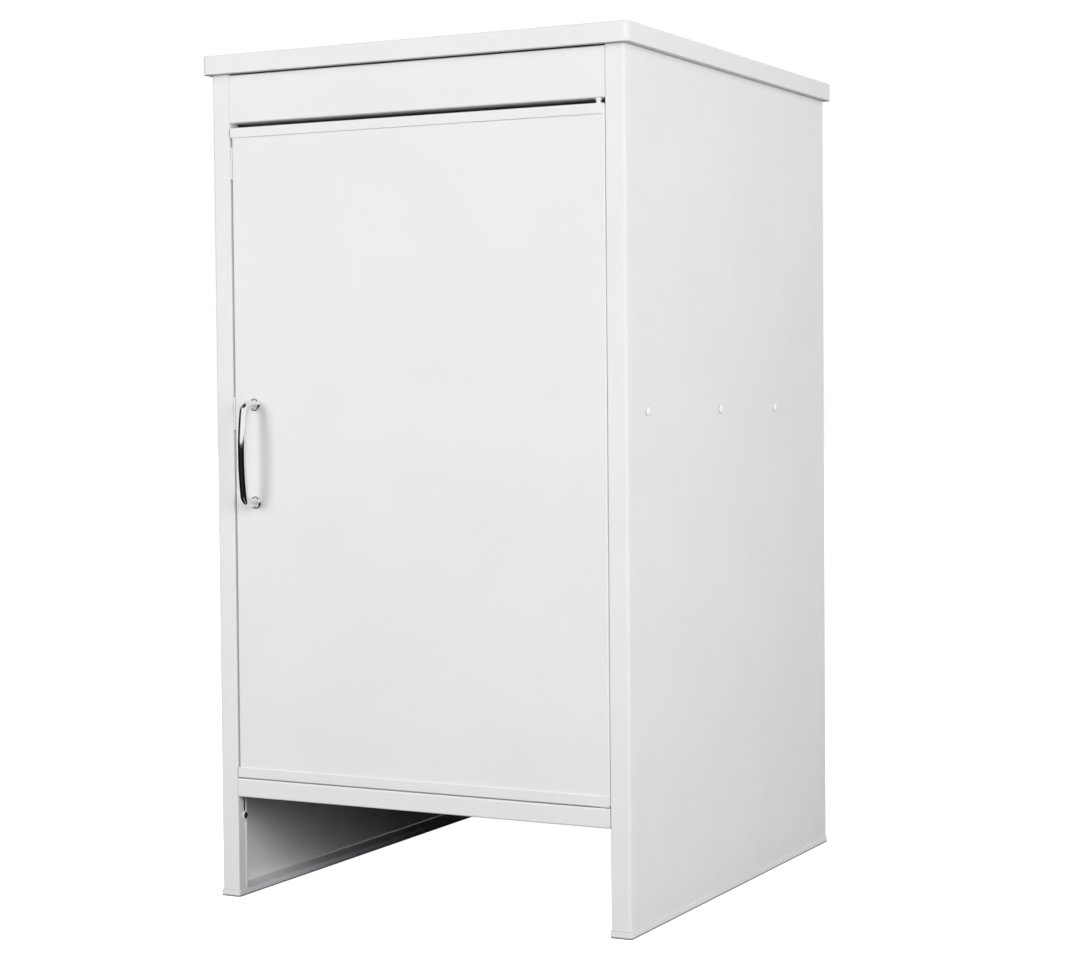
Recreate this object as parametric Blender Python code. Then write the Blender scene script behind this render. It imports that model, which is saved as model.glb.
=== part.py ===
"""Utility base cabinet in folded sheet steel, powder coated white.

Two folded side panels stand on foot strips and carry a tray worktop, a fixed fascia,
a floor panel with a front rail, a half-depth shelf and a back panel.  One door turns on
two pins at its right-hand edge and is held shut by a magnet catch.

Frame: metres, +Z up, the front faces -Y, +X is to the right seen from the front.
The origin is under the middle of the cabinet's whole depth, handle included, on the floor.
All positions below are measured from the front plane of the stiles (Y = 0 there) and are
moved to the origin by one parent empty.
"""
import math

import bmesh
import bpy
from mathutils import Matrix, Vector

for old in list(bpy.data.objects):
    bpy.data.objects.remove(old, do_unlink=True)

# ------------------------------------------------------------------ driving dimensions
BODY_W = 0.450            # over the side panels
BODY_D = 0.500            # front plane to the back of the side panels
TOTAL_H = 0.830           # floor to the worktop's upper face
SHEET = 0.0010            # steel sheet
GAP = 0.0003              # air between touching pieces

TOP_T = 0.0183            # worktop skirt height
TOP_SIDE = 0.007          # worktop overhang at each side
TOP_FRONT = 0.007
TOP_BACK = 0.007
TOP_CORNER = 0.0055       # corner radius in plan
TOP_RETURN = 0.012        # turned-in flange under the skirt

STILE_W = 0.020           # folded front post of a side panel
RETURN_D = 0.0143         # how far the stile's inner fold runs back
HEM_D = 0.0024            # width of the closed hem on its edge
HEM_PROUD = 0.0008
REAR_FLANGE = 0.015
TOP_FLANGE = 0.024
FOOT_H = 0.0066           # foot strip
FOOT_PROUD = 0.0012

LEG_H = 0.100             # clear height under the front rail
RAIL_H = 0.0183
FLOOR_Z = LEG_H + RAIL_H  # upper face of the floor panel
FASCIA_Z0 = 0.7636
FASCIA_Z1 = 0.8105
FASCIA_HALF = 0.2047
FLANGE_D = 0.0150         # depth of the fascia's upper fold
FASCIA_DEEP = 0.0290      # depth of its lower fold

DOOR_Z0 = 0.1193
DOOR_Z1 = 0.7589
DOOR_X0 = -0.2027         # free edge of the skin
DOOR_X1 = 0.2044          # hinge edge
DOOR_D = 0.0115           # depth of the skin's side folds
CHANNEL_X0 = -0.2036      # end channels are a little wider at the free edge
CHANNEL_X1 = 0.2035
CHANNEL_H = 0.0097
CHANNEL_PROUD = 0.0013
HINGE_X = 0.1970
HINGE_Y = 0.0038
PIN_R = 0.0020
BORE_R = 0.00208

HANDLE_X = -0.1796
HANDLE_Z = 0.4399         # middle of the pull
HANDLE_PITCH = 0.0960     # hole to hole
HANDLE_REACH = 0.0262     # front of the grip from the door's face

SHELF_TOP = 0.4883
SHELF_H = 0.0180
SHELF_Y0 = 0.0160
SHELF_Y1 = 0.3780
SHELF_SCREWS = (0.0435, 0.2130, 0.3550)
SHELF_SCREW_Z = 0.4795

FRONT_Y = (HANDLE_REACH - BODY_D - TOP_BACK) / 2
HALF = BODY_W / 2
PANEL_TOP = TOTAL_H - TOP_T - GAP      # top of the stiles
WALL_TOP = PANEL_TOP - 0.0015          # the side walls end lower, a slit under the worktop
TOP_Z0 = TOTAL_H - TOP_T
WALL_IN = HALF - SHEET            # inner face of a side wall
FIT_IN = WALL_IN - 0.0008         # what fits between the two walls

# ------------------------------------------------------------------ materials


def material(name, colour, roughness, metallic):
    m = bpy.data.materials.new(name)
    m.use_nodes = True
    b = m.node_tree.nodes["Principled BSDF"]
    b.inputs["Base Color"].default_value = (*colour, 1)
    b.inputs["Roughness"].default_value = roughness
    b.inputs["Metallic"].default_value = metallic
    return m


WHITE = (0.86, 0.86, 0.865)
FINISH = {
    "coat": (WHITE, 0.42, 0.0),
    "chrome": ((0.80, 0.80, 0.81), 0.08, 1.0),
    "steel": ((0.62, 0.62, 0.63), 0.32, 1.0),
    "plastic": ((0.80, 0.80, 0.81), 0.50, 0.0),
    "nylon": ((0.90, 0.90, 0.88), 0.45, 0.0),
    "magnet": ((0.10, 0.10, 0.11), 0.60, 0.0),
}

# ------------------------------------------------------------------ frames
collection = bpy.context.scene.collection


def empty(name, location, parent=None):
    e = bpy.data.objects.new(name, None)
    collection.objects.link(e)
    e.parent = parent
    e.location = location
    return e


CARCASS = empty("carcass_frame", (0, FRONT_Y, 0))
HINGE = empty("door_hinge_axis", (HINGE_X, HINGE_Y, 0), CARCASS)


def place(name, bm, finish, parent=CARCASS, round_shape=False):
    """One sub-part from a bmesh drawn in the parent frame of the carcass."""
    if parent is HINGE:
        bmesh.ops.translate(bm, verts=bm.verts, vec=(-HINGE_X, -HINGE_Y, 0))
    bmesh.ops.recalc_face_normals(bm, faces=bm.faces)
    me = bpy.data.meshes.new(name)
    bm.to_mesh(me)
    bm.free()
    colour, roughness, metallic = FINISH[finish]
    me.materials.append(material(name + "_" + finish, colour, roughness, metallic))
    if round_shape:
        me.shade_smooth()
        me.set_sharp_from_angle(angle=math.radians(35))
    ob = bpy.data.objects.new(name, me)
    collection.objects.link(ob)
    ob.parent = parent
    return ob


def tool(name, bm, parent=CARCASS):
    """A cutter or an added block: drawn as wire, never rendered."""
    if parent is HINGE:
        bmesh.ops.translate(bm, verts=bm.verts, vec=(-HINGE_X, -HINGE_Y, 0))
    bmesh.ops.recalc_face_normals(bm, faces=bm.faces)
    me = bpy.data.meshes.new(name)
    bm.to_mesh(me)
    bm.free()
    ob = bpy.data.objects.new(name, me)
    collection.objects.link(ob)
    ob.parent = parent
    ob.hide_render = True
    ob.display_type = "WIRE"
    return ob


def boolean(ob, other, operation):
    mod = ob.modifiers.new(operation.lower(), "BOOLEAN")
    mod.operation = operation
    mod.solver = "EXACT"
    mod.object = other


# ------------------------------------------------------------------ shape builders
def add_block(bm, x0, x1, y0, y1, z0, z1):
    made = bmesh.ops.create_cube(bm, size=1.0)
    verts = made["verts"]
    bmesh.ops.scale(bm, verts=verts, vec=(x1 - x0, y1 - y0, z1 - z0))
    bmesh.ops.translate(
        bm, verts=verts, vec=((x0 + x1) / 2, (y0 + y1) / 2, (z0 + z1) / 2)
    )
    return bm


def block(*limits):
    return add_block(bmesh.new(), *limits)


def bevel_all(bm, width, segments=1):
    bmesh.ops.bevel(
        bm,
        geom=list(bm.edges),
        offset=width,
        segments=segments,
        profile=0.5,
        affect="EDGES",
        clamp_overlap=True,
    )
    return bm


def fold_pairs(path, thickness, inner_radius, side, steps=3):
    """Both faces of a folded sheet as matching point pairs.

    path runs along the sheet's outer face; side is +1 when the sheet lies to its right.
    Each fold has the same centre on both faces, inner_radius on its inside; a tuple gives
    each fold its own.
    """
    pts = [Vector(p) for p in path]
    dirs = [(b - a).normalized() for a, b in zip(pts, pts[1:])]

    def right(d):
        return Vector((d.y, -d.x))

    pairs = [(pts[0], pts[0] + right(dirs[0]) * thickness * side)]
    for i in range(1, len(pts) - 1):
        d0, d1 = dirs[i - 1], dirs[i]
        turn = math.atan2(d0.x * d1.y - d0.y * d1.x, d0.dot(d1))
        inward = -1 if turn > 0 else 1            # +1: the fold closes to the right
        inside = inner_radius[i - 1] if isinstance(inner_radius, tuple) else inner_radius
        radius = inside + (thickness if inward == side else 0)
        back = radius * math.tan(abs(turn) / 2)
        start = pts[i] - d0 * back
        centre = start + right(d0) * radius * inward
        for k in range(steps + 1):
            spin = Matrix.Rotation(turn * k / steps, 2)
            out = spin @ (start - centre)
            other = radius - thickness * side * inward
            pairs.append((centre + out, centre + out * (other / radius)))
    pairs.append((pts[-1], pts[-1] + right(dirs[-1]) * thickness * side))
    return pairs


def sheet(pairs, a, b, along):
    """Extrudes a folded section.  along 'z': pairs are (x, y); along 'x': pairs are (y, z)."""
    bm = bmesh.new()

    def at(p, s):
        return (p.x, p.y, s) if along == "z" else (s, p.x, p.y)

    rows = []
    for face, back in pairs:
        rows.append([bm.verts.new(at(p, s)) for s in (a, b) for p in (face, back)])
    for r, q in zip(rows, rows[1:]):
        bm.faces.new((r[0], q[0], q[2], r[2]))    # outer face
        bm.faces.new((r[1], q[1], q[3], r[3]))    # inner face
        bm.faces.new((r[0], q[0], q[1], r[1]))    # cut edge at a
        bm.faces.new((r[2], q[2], q[3], r[3]))    # cut edge at b
    for r in (rows[0], rows[-1]):
        bm.faces.new((r[0], r[1], r[3], r[2]))
    return bm


def rounded_rect(x0, x1, y0, y1, radius, steps=4):
    out = []
    corners = (
        (x1 - radius, y1 - radius, 0),
        (x0 + radius, y1 - radius, 90),
        (x0 + radius, y0 + radius, 180),
        (x1 - radius, y0 + radius, 270),
    )
    for cx, cy, first in corners:
        for k in range(steps + 1):
            a = math.radians(first + 90 * k / steps)
            out.append((cx + radius * math.cos(a), cy + radius * math.sin(a)))
    return out


def loft(rings):
    """Joins rings of equal count, each (outline, z), and caps the first and the last."""
    bm = bmesh.new()
    made = [[bm.verts.new((x, y, z)) for x, y in ring] for ring, z in rings]
    n = len(made[0])
    for r, q in zip(made, made[1:]):
        for i in range(n):
            j = (i + 1) % n
            bm.faces.new((r[i], r[j], q[j], q[i]))
    bm.faces.new(made[0])
    bm.faces.new(made[-1])
    return bm


def tray(x0, x1, y0, y1, z0, z1, corner, edge, lip, t=SHEET, steps=4):
    """A sheet pressed into a lid: flat top, skirt, and a flange turned in under the skirt."""

    def ring(inset, z):
        r = max(corner - inset, 0.0006)
        return rounded_rect(x0 + inset, x1 - inset, y0 + inset, y1 - inset, r, steps), z

    rings = [ring(lip, z0 + t), ring(lip, z0)]
    rings.append(ring(0.0006, z0))
    rings.append(ring(0, z0 + 0.0006))
    for k in range(4):
        a = math.radians(90 * k / 3)
        rings.append(ring(edge * (1 - math.cos(a)), z1 - edge + edge * math.sin(a)))
    outer_cap = rings[-1]
    inner = [ring(t, z0 + t), ring(t, z1 - t)]
    # one closed skin: top cap, down the outside, round the lip, up the inside, inner cap
    order = [outer_cap] + rings[-2:1:-1] + [rings[1], rings[0]] + inner
    return loft(order)


def add_turned(bm, profile, segments, matrix):
    """A solid of revolution about local Z.  profile: (radius, height) from axis to axis."""
    rings = []
    for r, h in profile:
        if r < 1e-9:
            rings.append([bm.verts.new(matrix @ Vector((0, 0, h)))])
            continue
        ring = []
        for k in range(segments):
            a = 2 * math.pi * (k + 0.5) / segments
            p = Vector((r * math.cos(a), r * math.sin(a), h))
            ring.append(bm.verts.new(matrix @ p))
        rings.append(ring)
    for r, q in zip(rings, rings[1:]):
        for k in range(segments):
            j = (k + 1) % segments
            loop = []
            for v in (
                r[k % len(r)], r[j % len(r)], q[j % len(q)], q[k % len(q)]
            ):
                if v not in loop:
                    loop.append(v)
            bm.faces.new(loop)
    return bm


def add_sleeve(bm, profile, segments, matrix):
    """A ring of revolution: the profile is a closed loop that stays off the axis."""
    rings = []
    for r, h in profile:
        ring = []
        for k in range(segments):
            a = 2 * math.pi * (k + 0.5) / segments
            ring.append(
                bm.verts.new(matrix @ Vector((r * math.cos(a), r * math.sin(a), h)))
            )
        rings.append(ring)
    for i in range(len(rings)):
        r, q = rings[i], rings[(i + 1) % len(rings)]
        for k in range(segments):
            j = (k + 1) % segments
            bm.faces.new((r[k], r[j], q[j], q[k]))
    return bm


def facing(direction, point):
    """Local Z turned to direction, moved to point."""
    turn = Vector((0, 0, 1)).rotation_difference(Vector(direction)).to_matrix().to_4x4()
    return Matrix.Translation(point) @ turn


def screw(head_r, head_h, shank_r, shank_l):
    """Domed head above Z = 0, shank below."""
    return [
        (0, head_h),
        (head_r * 0.55, head_h * 0.92),
        (head_r * 0.90, head_h * 0.50),
        (head_r, 0.15 * head_h),
        (head_r, 0),
        (shank_r, 0),
        (shank_r, -shank_l + shank_r),
        (0, -shank_l),
    ]


def turned_mesh(name, profile, segments, finish):
    """A turned piece about local Z, for one or more objects that share it."""
    bm = add_turned(bmesh.new(), profile, segments, Matrix.Identity(4))
    bmesh.ops.recalc_face_normals(bm, faces=bm.faces)
    me = bpy.data.meshes.new(name)
    bm.to_mesh(me)
    bm.free()
    colour, roughness, metallic = FINISH[finish]
    me.materials.append(material(name + "_" + finish, colour, roughness, metallic))
    me.shade_smooth()
    me.set_sharp_from_angle(angle=math.radians(35))
    return me


def set_in(name, me, direction, point, parent=CARCASS):
    """One turned piece with its local Z turned to direction and its origin at point."""
    ob = bpy.data.objects.new(name, me)
    collection.objects.link(ob)
    ob.parent = parent
    offset = Vector((HINGE_X, HINGE_Y, 0)) if parent is HINGE else Vector()
    ob.location = Vector(point) - offset
    ob.rotation_euler = (
        Vector((0, 0, 1)).rotation_difference(Vector(direction)).to_euler()
    )
    return ob


def add_hole(bm, direction, point, radius, length, segments=12):
    add_turned(
        bm,
        [(0, -length / 2), (radius, -length / 2), (radius, length / 2), (0, length / 2)],
        segments,
        facing(direction, point),
    )


def mirrored(bm):
    bmesh.ops.scale(bm, verts=bm.verts, vec=(-1, 1, 1))
    bmesh.ops.reverse_faces(bm, faces=bm.faces)
    return bm


SIDES = (("left", -1), ("right", 1))


def both_sides(make):
    """make(side_name) draws the right-hand piece; the left one is its mirror image."""
    for name, sign in SIDES:
        bm = make()
        yield name, (mirrored(bm) if sign < 0 else bm)


# ------------------------------------------------------------------ worktop
worktop = place(
    "worktop",
    tray(
        -HALF - TOP_SIDE, HALF + TOP_SIDE, -TOP_FRONT, BODY_D + TOP_BACK,
        TOP_Z0, TOTAL_H, TOP_CORNER, 0.0013, TOP_RETURN,
    ),
    "coat",
    round_shape=True,
)
# the turned-in flange is narrower between the stiles, above the fascia
NOTCH_X = HALF - STILE_W - GAP
narrow = block(
    -NOTCH_X, NOTCH_X, 0.0006, 0.0070, TOP_Z0 - 0.0010, TOP_Z0 + SHEET + 0.0006
)
boolean(worktop, tool("cut_worktop", narrow), "DIFFERENCE")

TOP_SCREW_Y = (0.150, 0.350)
TOP_SCREW_X = 0.2120
HAT_Z0 = TOP_Z0 + SHEET + 0.0005       # crown just above the turned-in flange
HAT_Z1 = TOTAL_H - SHEET - GAP         # brims against the underside of the top
for label, y in (("front", TOP_SCREW_Y[0]), ("rear", TOP_SCREW_Y[1])):
    hat = fold_pairs(
        [
            (y - 0.034, HAT_Z1), (y - 0.020, HAT_Z1), (y - 0.016, HAT_Z0 + SHEET),
            (y + 0.016, HAT_Z0 + SHEET), (y + 0.020, HAT_Z1), (y + 0.034, HAT_Z1),
        ],
        SHEET, 0.0006, 1, 2,
    )
    ob = place(
        "worktop_stiffener_" + label,
        sheet(hat, -HALF - 0.0010, HALF + 0.0010, "x"),
        "coat", round_shape=True,
    )
    holes = bmesh.new()
    for x in (-TOP_SCREW_X, TOP_SCREW_X):
        add_hole(holes, (0, 0, 1), (x, y, HAT_Z0), 0.0024, 0.006)
    boolean(ob, tool("cut_hat_" + label, holes), "DIFFERENCE")

# ------------------------------------------------------------------ side panels
IN_X = HALF - STILE_W                  # visible face of the stile's inner fold
KEY_Y, KEY_Z = 0.0100, 0.0800
BACK_RIVETS = (("low", 0.060), ("middle", 0.400), ("high", 0.745))
RIVET_X = HALF - 0.0085


def side_panel():
    pairs = fold_pairs(
        [
            (HALF - REAR_FLANGE, BODY_D), (HALF, BODY_D), (HALF, 0), (IN_X, 0),
            (IN_X, RETURN_D - HEM_D - 0.0003),
        ],
        SHEET, (0.0006, 0.0020, 0.0006), 1, 4,
    )
    inner = IN_X + SHEET
    hem_x = IN_X - HEM_PROUD
    for x, y in (
        (hem_x, RETURN_D - HEM_D), (hem_x, RETURN_D - 0.0004),
        (hem_x + 0.0004, RETURN_D),
    ):
        pairs.append((Vector((x, y)), Vector((inner, y))))
    return sheet(pairs, FOOT_H + GAP, PANEL_TOP, "z")


def side_flange():
    return block(
        HALF - TOP_FLANGE, HALF - 0.0004, 0.0200, BODY_D - 0.0200,
        WALL_TOP - SHEET - 0.0001, WALL_TOP - 0.0001,
    )


def wall_slit():
    return block(
        HALF - 0.0017, HALF + 0.0020, 0.0011, BODY_D + 0.0020,
        WALL_TOP, PANEL_TOP + 0.0020,
    )


def side_holes():
    bm = bmesh.new()
    for y in SHELF_SCREWS:
        add_hole(bm, (1, 0, 0), (HALF, y, SHELF_SCREW_Z), 0.0024, 0.008)
    for _, z in BACK_RIVETS:
        add_hole(bm, (0, 1, 0), (RIVET_X, BODY_D, z), 0.0019, 0.006, 10)
    for y in TOP_SCREW_Y:
        add_hole(bm, (0, 0, 1), (TOP_SCREW_X, y, PANEL_TOP), 0.0024, 0.006)
    # round end of the keyhole in the inner fold
    add_hole(bm, (1, 0, 0), (IN_X, KEY_Y, KEY_Z), 0.0030, 0.008, 16)
    return bm


def key_slot():
    return block(
        IN_X - 0.004, IN_X + 0.004, KEY_Y - 0.0011, KEY_Y + 0.0011, KEY_Z, KEY_Z + 0.0190
    )


def hem_gap():
    """The hem is pressed flat beside the keyhole, so that the screw's head lies down."""
    return block(IN_X - 0.0030, IN_X - 0.0001, 0.0110, 0.0160, KEY_Z - 0.0080, LEG_H + 0.0100)


flanges = dict(both_sides(side_flange))
wall_slits = dict(both_sides(wall_slit))
hem_gaps = dict(both_sides(hem_gap))
round_holes = dict(both_sides(side_holes))
slots = dict(both_sides(key_slot))
for name, bm in both_sides(side_panel):
    ob = place("side_panel_" + name, bm, "coat", round_shape=True)
    boolean(ob, tool("cut_slit_" + name, wall_slits[name]), "DIFFERENCE")
    boolean(ob, tool("add_flange_" + name, flanges[name]), "UNION")
    boolean(ob, tool("cut_hem_" + name, hem_gaps[name]), "DIFFERENCE")
    boolean(ob, tool("cut_round_" + name, round_holes[name]), "DIFFERENCE")
    boolean(ob, tool("cut_slot_" + name, slots[name]), "DIFFERENCE")


def foot_strip():
    x0, x1 = IN_X - FOOT_PROUD, HALF + FOOT_PROUD
    y0, y1 = -FOOT_PROUD, BODY_D + FOOT_PROUD
    e = 0.0008

    def ring(inset, z):
        return (
            rounded_rect(x0 + inset, x1 - inset, y0 + inset, y1 - inset, 0.0030 - inset, 3),
            z,
        )

    return loft([ring(e, 0), ring(0, e), ring(0, FOOT_H - 0.0005), ring(0.0005, FOOT_H)])


for name, bm in both_sides(foot_strip):
    place("foot_strip_" + name, bm, "plastic", round_shape=True)

# ------------------------------------------------------------------ pads in the door's gap
# Two thin pads on the left stile's return; the door's free edge closes against them.
PAD_X0, PAD_X1 = -IN_X + GAP, DOOR_X0 - GAP
PAD_Z = {"lower": (0.4631, 0.4955), "upper": (0.7085, 0.7402)}

for label, (z0, z1) in PAD_Z.items():
    place(
        "gap_pad_" + label,
        bevel_all(block(PAD_X0, PAD_X1, 0.0006, 0.0100, z0, z1), 0.0004),
        "nylon",
    )

# ------------------------------------------------------------------ fascia above the door
fascia = place(
    "fascia_panel",
    sheet(
        fold_pairs(
            [
                (FLANGE_D, FASCIA_Z1 - 0.012), (FLANGE_D, FASCIA_Z1), (0, FASCIA_Z1),
                (0, FASCIA_Z0), (FASCIA_DEEP, FASCIA_Z0), (FASCIA_DEEP, FASCIA_Z0 + 0.010),
            ],
            SHEET, 0.0006, -1, 3,
        ),
        -FASCIA_HALF, FASCIA_HALF, "x",
    ),
    "coat", round_shape=True,
)
FASCIA_SCREWS = (("left", -0.1940), ("right", 0.1940))
UPPER_Z, LOWER_Y = FASCIA_Z1 - 0.0075, 0.0222
cuts = bmesh.new()
for _, x in FASCIA_SCREWS:
    add_hole(cuts, (0, 1, 0), (x, FLANGE_D, UPPER_Z), 0.0019, 0.006, 10)
    add_hole(cuts, (0, 0, 1), (x, LOWER_Y, FASCIA_Z0), 0.0019, 0.006, 10)
add_hole(cuts, (0, 0, 1), (HINGE_X, HINGE_Y, FASCIA_Z0), 0.0028, 0.004, 24)
boolean(fascia, tool("cut_fascia", cuts), "DIFFERENCE")
# notched ends, clear of the hems on the side panels
for name, sign in SIDES:
    notch = block(0.2036, 0.2060, 0.0112, 0.0310, FASCIA_Z0 - 0.002, FASCIA_Z1 + 0.002)
    boolean(
        fascia, tool("cut_end_" + name, mirrored(notch) if sign < 0 else notch), "DIFFERENCE"
    )

BRACKET_Y = FLANGE_D + GAP
BRACKET_Z = (FASCIA_Z0 + 0.0014, FASCIA_Z1 - 0.0034)


def fascia_bracket():
    pairs = fold_pairs(
        [(0.1840, BRACKET_Y), (WALL_IN - GAP, BRACKET_Y), (WALL_IN - GAP, 0.0400)],
        SHEET, 0.0006, -1, 3,
    )
    return sheet(pairs, BRACKET_Z[0], BRACKET_Z[1], "z")


def bracket_tab():
    """Flat tab at the bracket's lower end, on which the fascia's lower fold is screwed."""
    return block(
        0.1841, WALL_IN - GAP - 0.0001, BRACKET_Y + 0.0001, FASCIA_DEEP - SHEET - 0.0006,
        BRACKET_Z[0] + 0.0001, TAB_Z1,
    )


def bracket_holes():
    bm = bmesh.new()
    add_hole(bm, (0, 1, 0), (0.1940, BRACKET_Y, UPPER_Z), 0.0019, 0.006, 10)
    add_hole(bm, (0, 0, 1), (0.1940, LOWER_Y, TAB_Z1), 0.0019, 0.006, 10)
    return bm


TAB_Z1 = BRACKET_Z[0] + 0.0010
bracket_tabs = dict(both_sides(bracket_tab))
bracket_cuts = dict(both_sides(bracket_holes))
for name, bm in both_sides(fascia_bracket):
    ob = place("fascia_bracket_" + name, bm, "coat", round_shape=True)
    boolean(ob, tool("add_tab_" + name, bracket_tabs[name]), "UNION")
    boolean(ob, tool("cut_bracket_" + name, bracket_cuts[name]), "DIFFERENCE")

small_screw = turned_mesh(
    "small_screw", screw(0.0032, 0.0018, 0.0015, 0.0060), 10, "steel"
)
short_screw = turned_mesh(
    "short_screw", screw(0.0032, 0.0018, 0.0015, 0.0026), 10, "steel"
)
for name, x in FASCIA_SCREWS:
    set_in(
        "fascia_screw_%s_upper" % name, small_screw, (0, 1, 0),
        (x, BRACKET_Y + SHEET + GAP, UPPER_Z),
    )
    set_in(
        "fascia_screw_%s_lower" % name, short_screw, (0, 0, 1), (x, LOWER_Y, TAB_Z1 + GAP)
    )

# ------------------------------------------------------------------ floor panel with front rail
floor = place(
    "floor_panel",
    sheet(
        fold_pairs(
            [
                (0.0110, LEG_H), (0, LEG_H), (0, FLOOR_Z), (0.4970, FLOOR_Z),
                (0.4970, LEG_H + 0.0003),
            ],
            SHEET, 0.0005, 1, 3,
        ),
        -FIT_IN, FIT_IN, "x",
    ),
    "coat", round_shape=True,
)
cuts = bmesh.new()
for s in (-1, 1):
    # room for the stile at each front corner
    x0, x1 = sorted((s * (IN_X - GAP), s * 0.230))
    add_block(cuts, x0, x1, -0.010, RETURN_D - HEM_D - 0.0006, 0.090, 0.125)
notch = tool("cut_floor_front", cuts)
cuts = bmesh.new()
for s in (-1, 1):
    x0, x1 = sorted((s * (IN_X - HEM_PROUD - 0.0005), s * 0.230))
    add_block(cuts, x0, x1, RETURN_D - HEM_D - 0.0010, RETURN_D + 0.0005, 0.091, 0.126)
notch_hem = tool("cut_floor_hem", cuts)
cuts = bmesh.new()
for s in (-1, 1):
    x0, x1 = sorted((s * (FIT_IN - SHEET), s * (FIT_IN - 0.0001)))
    add_block(cuts, x0, x1, 0.0400, 0.4900, LEG_H + 0.0004, FLOOR_Z - 0.0003)
side_flanges = tool("add_floor_flanges", cuts)
cuts = bmesh.new()
add_hole(cuts, (0, 0, 1), (HINGE_X, HINGE_Y, FLOOR_Z), 0.0028, 0.004, 24)
for s in (-1, 1):
    add_hole(cuts, (0, 0, 1), (s * 0.1960, 0.0300, FLOOR_Z), 0.0019, 0.006, 10)
bores = tool("cut_floor_bores", cuts)
boolean(floor, notch, "DIFFERENCE")
boolean(floor, notch_hem, "DIFFERENCE")
boolean(floor, side_flanges, "UNION")
boolean(floor, bores, "DIFFERENCE")

# corner brackets that tie the floor panel to the stiles
BASE_X = IN_X + SHEET + GAP            # inside the stile's fold
BASE_TOP = FLOOR_Z - SHEET - GAP


def base_bracket():
    pairs = fold_pairs(
        [(0.1880, BASE_TOP), (BASE_X + SHEET, BASE_TOP), (BASE_X + SHEET, 0.1010)],
        SHEET, 0.0005, 1, 3,
    )
    bm = bmesh.new()
    rows = []
    for face, back in pairs:
        rows.append(
            [
                bm.verts.new((p.x, y, p.y))
                for y in (0.0180, 0.0400)
                for p in (face, back)
            ]
        )
    for r, q in zip(rows, rows[1:]):
        bm.faces.new((r[0], q[0], q[2], r[2]))
        bm.faces.new((r[1], q[1], q[3], r[3]))
        bm.faces.new((r[0], q[0], q[1], r[1]))
        bm.faces.new((r[2], q[2], q[3], r[3]))
    for r in (rows[0], rows[-1]):
        bm.faces.new((r[0], r[1], r[3], r[2]))
    return bm


def base_arm():
    """Flat arm that reaches forward into the stile, above the rail's lower edge."""
    return block(
        BASE_X + 0.0001, BASE_X + SHEET - 0.0001, 0.0060, 0.0200, 0.1016, 0.1120
    )


def base_tongue():
    """The arm's tongue, down inside the stile behind the keyhole."""
    return block(
        BASE_X + 0.0002, BASE_X + SHEET - 0.0002, 0.0050, 0.0139, 0.0702, 0.1100
    )


def base_holes():
    bm = bmesh.new()
    add_hole(bm, (0, 0, 1), (0.1960, 0.0300, BASE_TOP), 0.0019, 0.006, 10)
    add_hole(bm, (1, 0, 0), (BASE_X, KEY_Y, KEY_Z), 0.0018, 0.006, 10)
    return bm


arms = dict(both_sides(base_arm))
tongues = dict(both_sides(base_tongue))
base_cuts = dict(both_sides(base_holes))
for name, bm in both_sides(base_bracket):
    ob = place("base_bracket_" + name, bm, "steel", round_shape=True)
    boolean(ob, tool("add_arm_" + name, arms[name]), "UNION")
    boolean(ob, tool("add_tongue_" + name, tongues[name]), "UNION")
    boolean(ob, tool("cut_base_" + name, base_cuts[name]), "DIFFERENCE")


key_screw = turned_mesh(
    "key_screw", screw(0.0042, 0.0020, 0.0015, 0.0060), 14, "steel"
)
for name, s in SIDES:
    # in the keyhole, its head against the inner fold
    set_in(
        "keyhole_screw_" + name, key_screw, (-s, 0, 0),
        (s * (IN_X - GAP), KEY_Y, KEY_Z),
    )
    # from the bracket up into the floor panel
    set_in(
        "floor_screw_" + name, small_screw, (0, 0, -1),
        (s * 0.1960, 0.0300, BASE_TOP - SHEET - GAP),
    )

# ------------------------------------------------------------------ back panel and rear rail
BACK_HALF = FIT_IN - 0.0020            # clear of the rear folds' inner curves
back = place(
    "back_panel",
    block(
        -BACK_HALF, BACK_HALF, BODY_D - SHEET - GAP - SHEET, BODY_D - SHEET - GAP,
        FOOT_H + 0.0010, PANEL_TOP - SHEET - 0.0010,
    ),
    "coat",
)
cuts = bmesh.new()
for s in (-1, 1):
    for _, z in BACK_RIVETS:
        add_hole(cuts, (0, 1, 0), (s * RIVET_X, BODY_D - 0.002, z), 0.0019, 0.006, 10)
boolean(back, tool("cut_back", cuts), "DIFFERENCE")


rivet = turned_mesh(
    "back_rivet",
    [
        (0, 0.0010), (0.0018, 0.0009), (0.0030, 0.0003), (0.0030, 0), (0.0016, 0),
        (0.0016, -0.0032), (0.0024, -0.0034), (0.0020, -0.0050), (0, -0.0052),
    ],
    10, "steel",
)
for name, s in SIDES:
    for height, z in BACK_RIVETS:
        set_in(
            "back_rivet_%s_%s" % (name, height), rivet, (0, 1, 0),
            (s * RIVET_X, BODY_D + GAP, z),
        )

place(
    "rear_top_rail",
    sheet(
        fold_pairs(
            [(0.4620, 0.8083), (0.4960, 0.8083), (0.4960, 0.7850)], SHEET, 0.0006, 1, 3
        ),
        -FIT_IN, FIT_IN, "x",
    ),
    "coat", round_shape=True,
)

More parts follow.
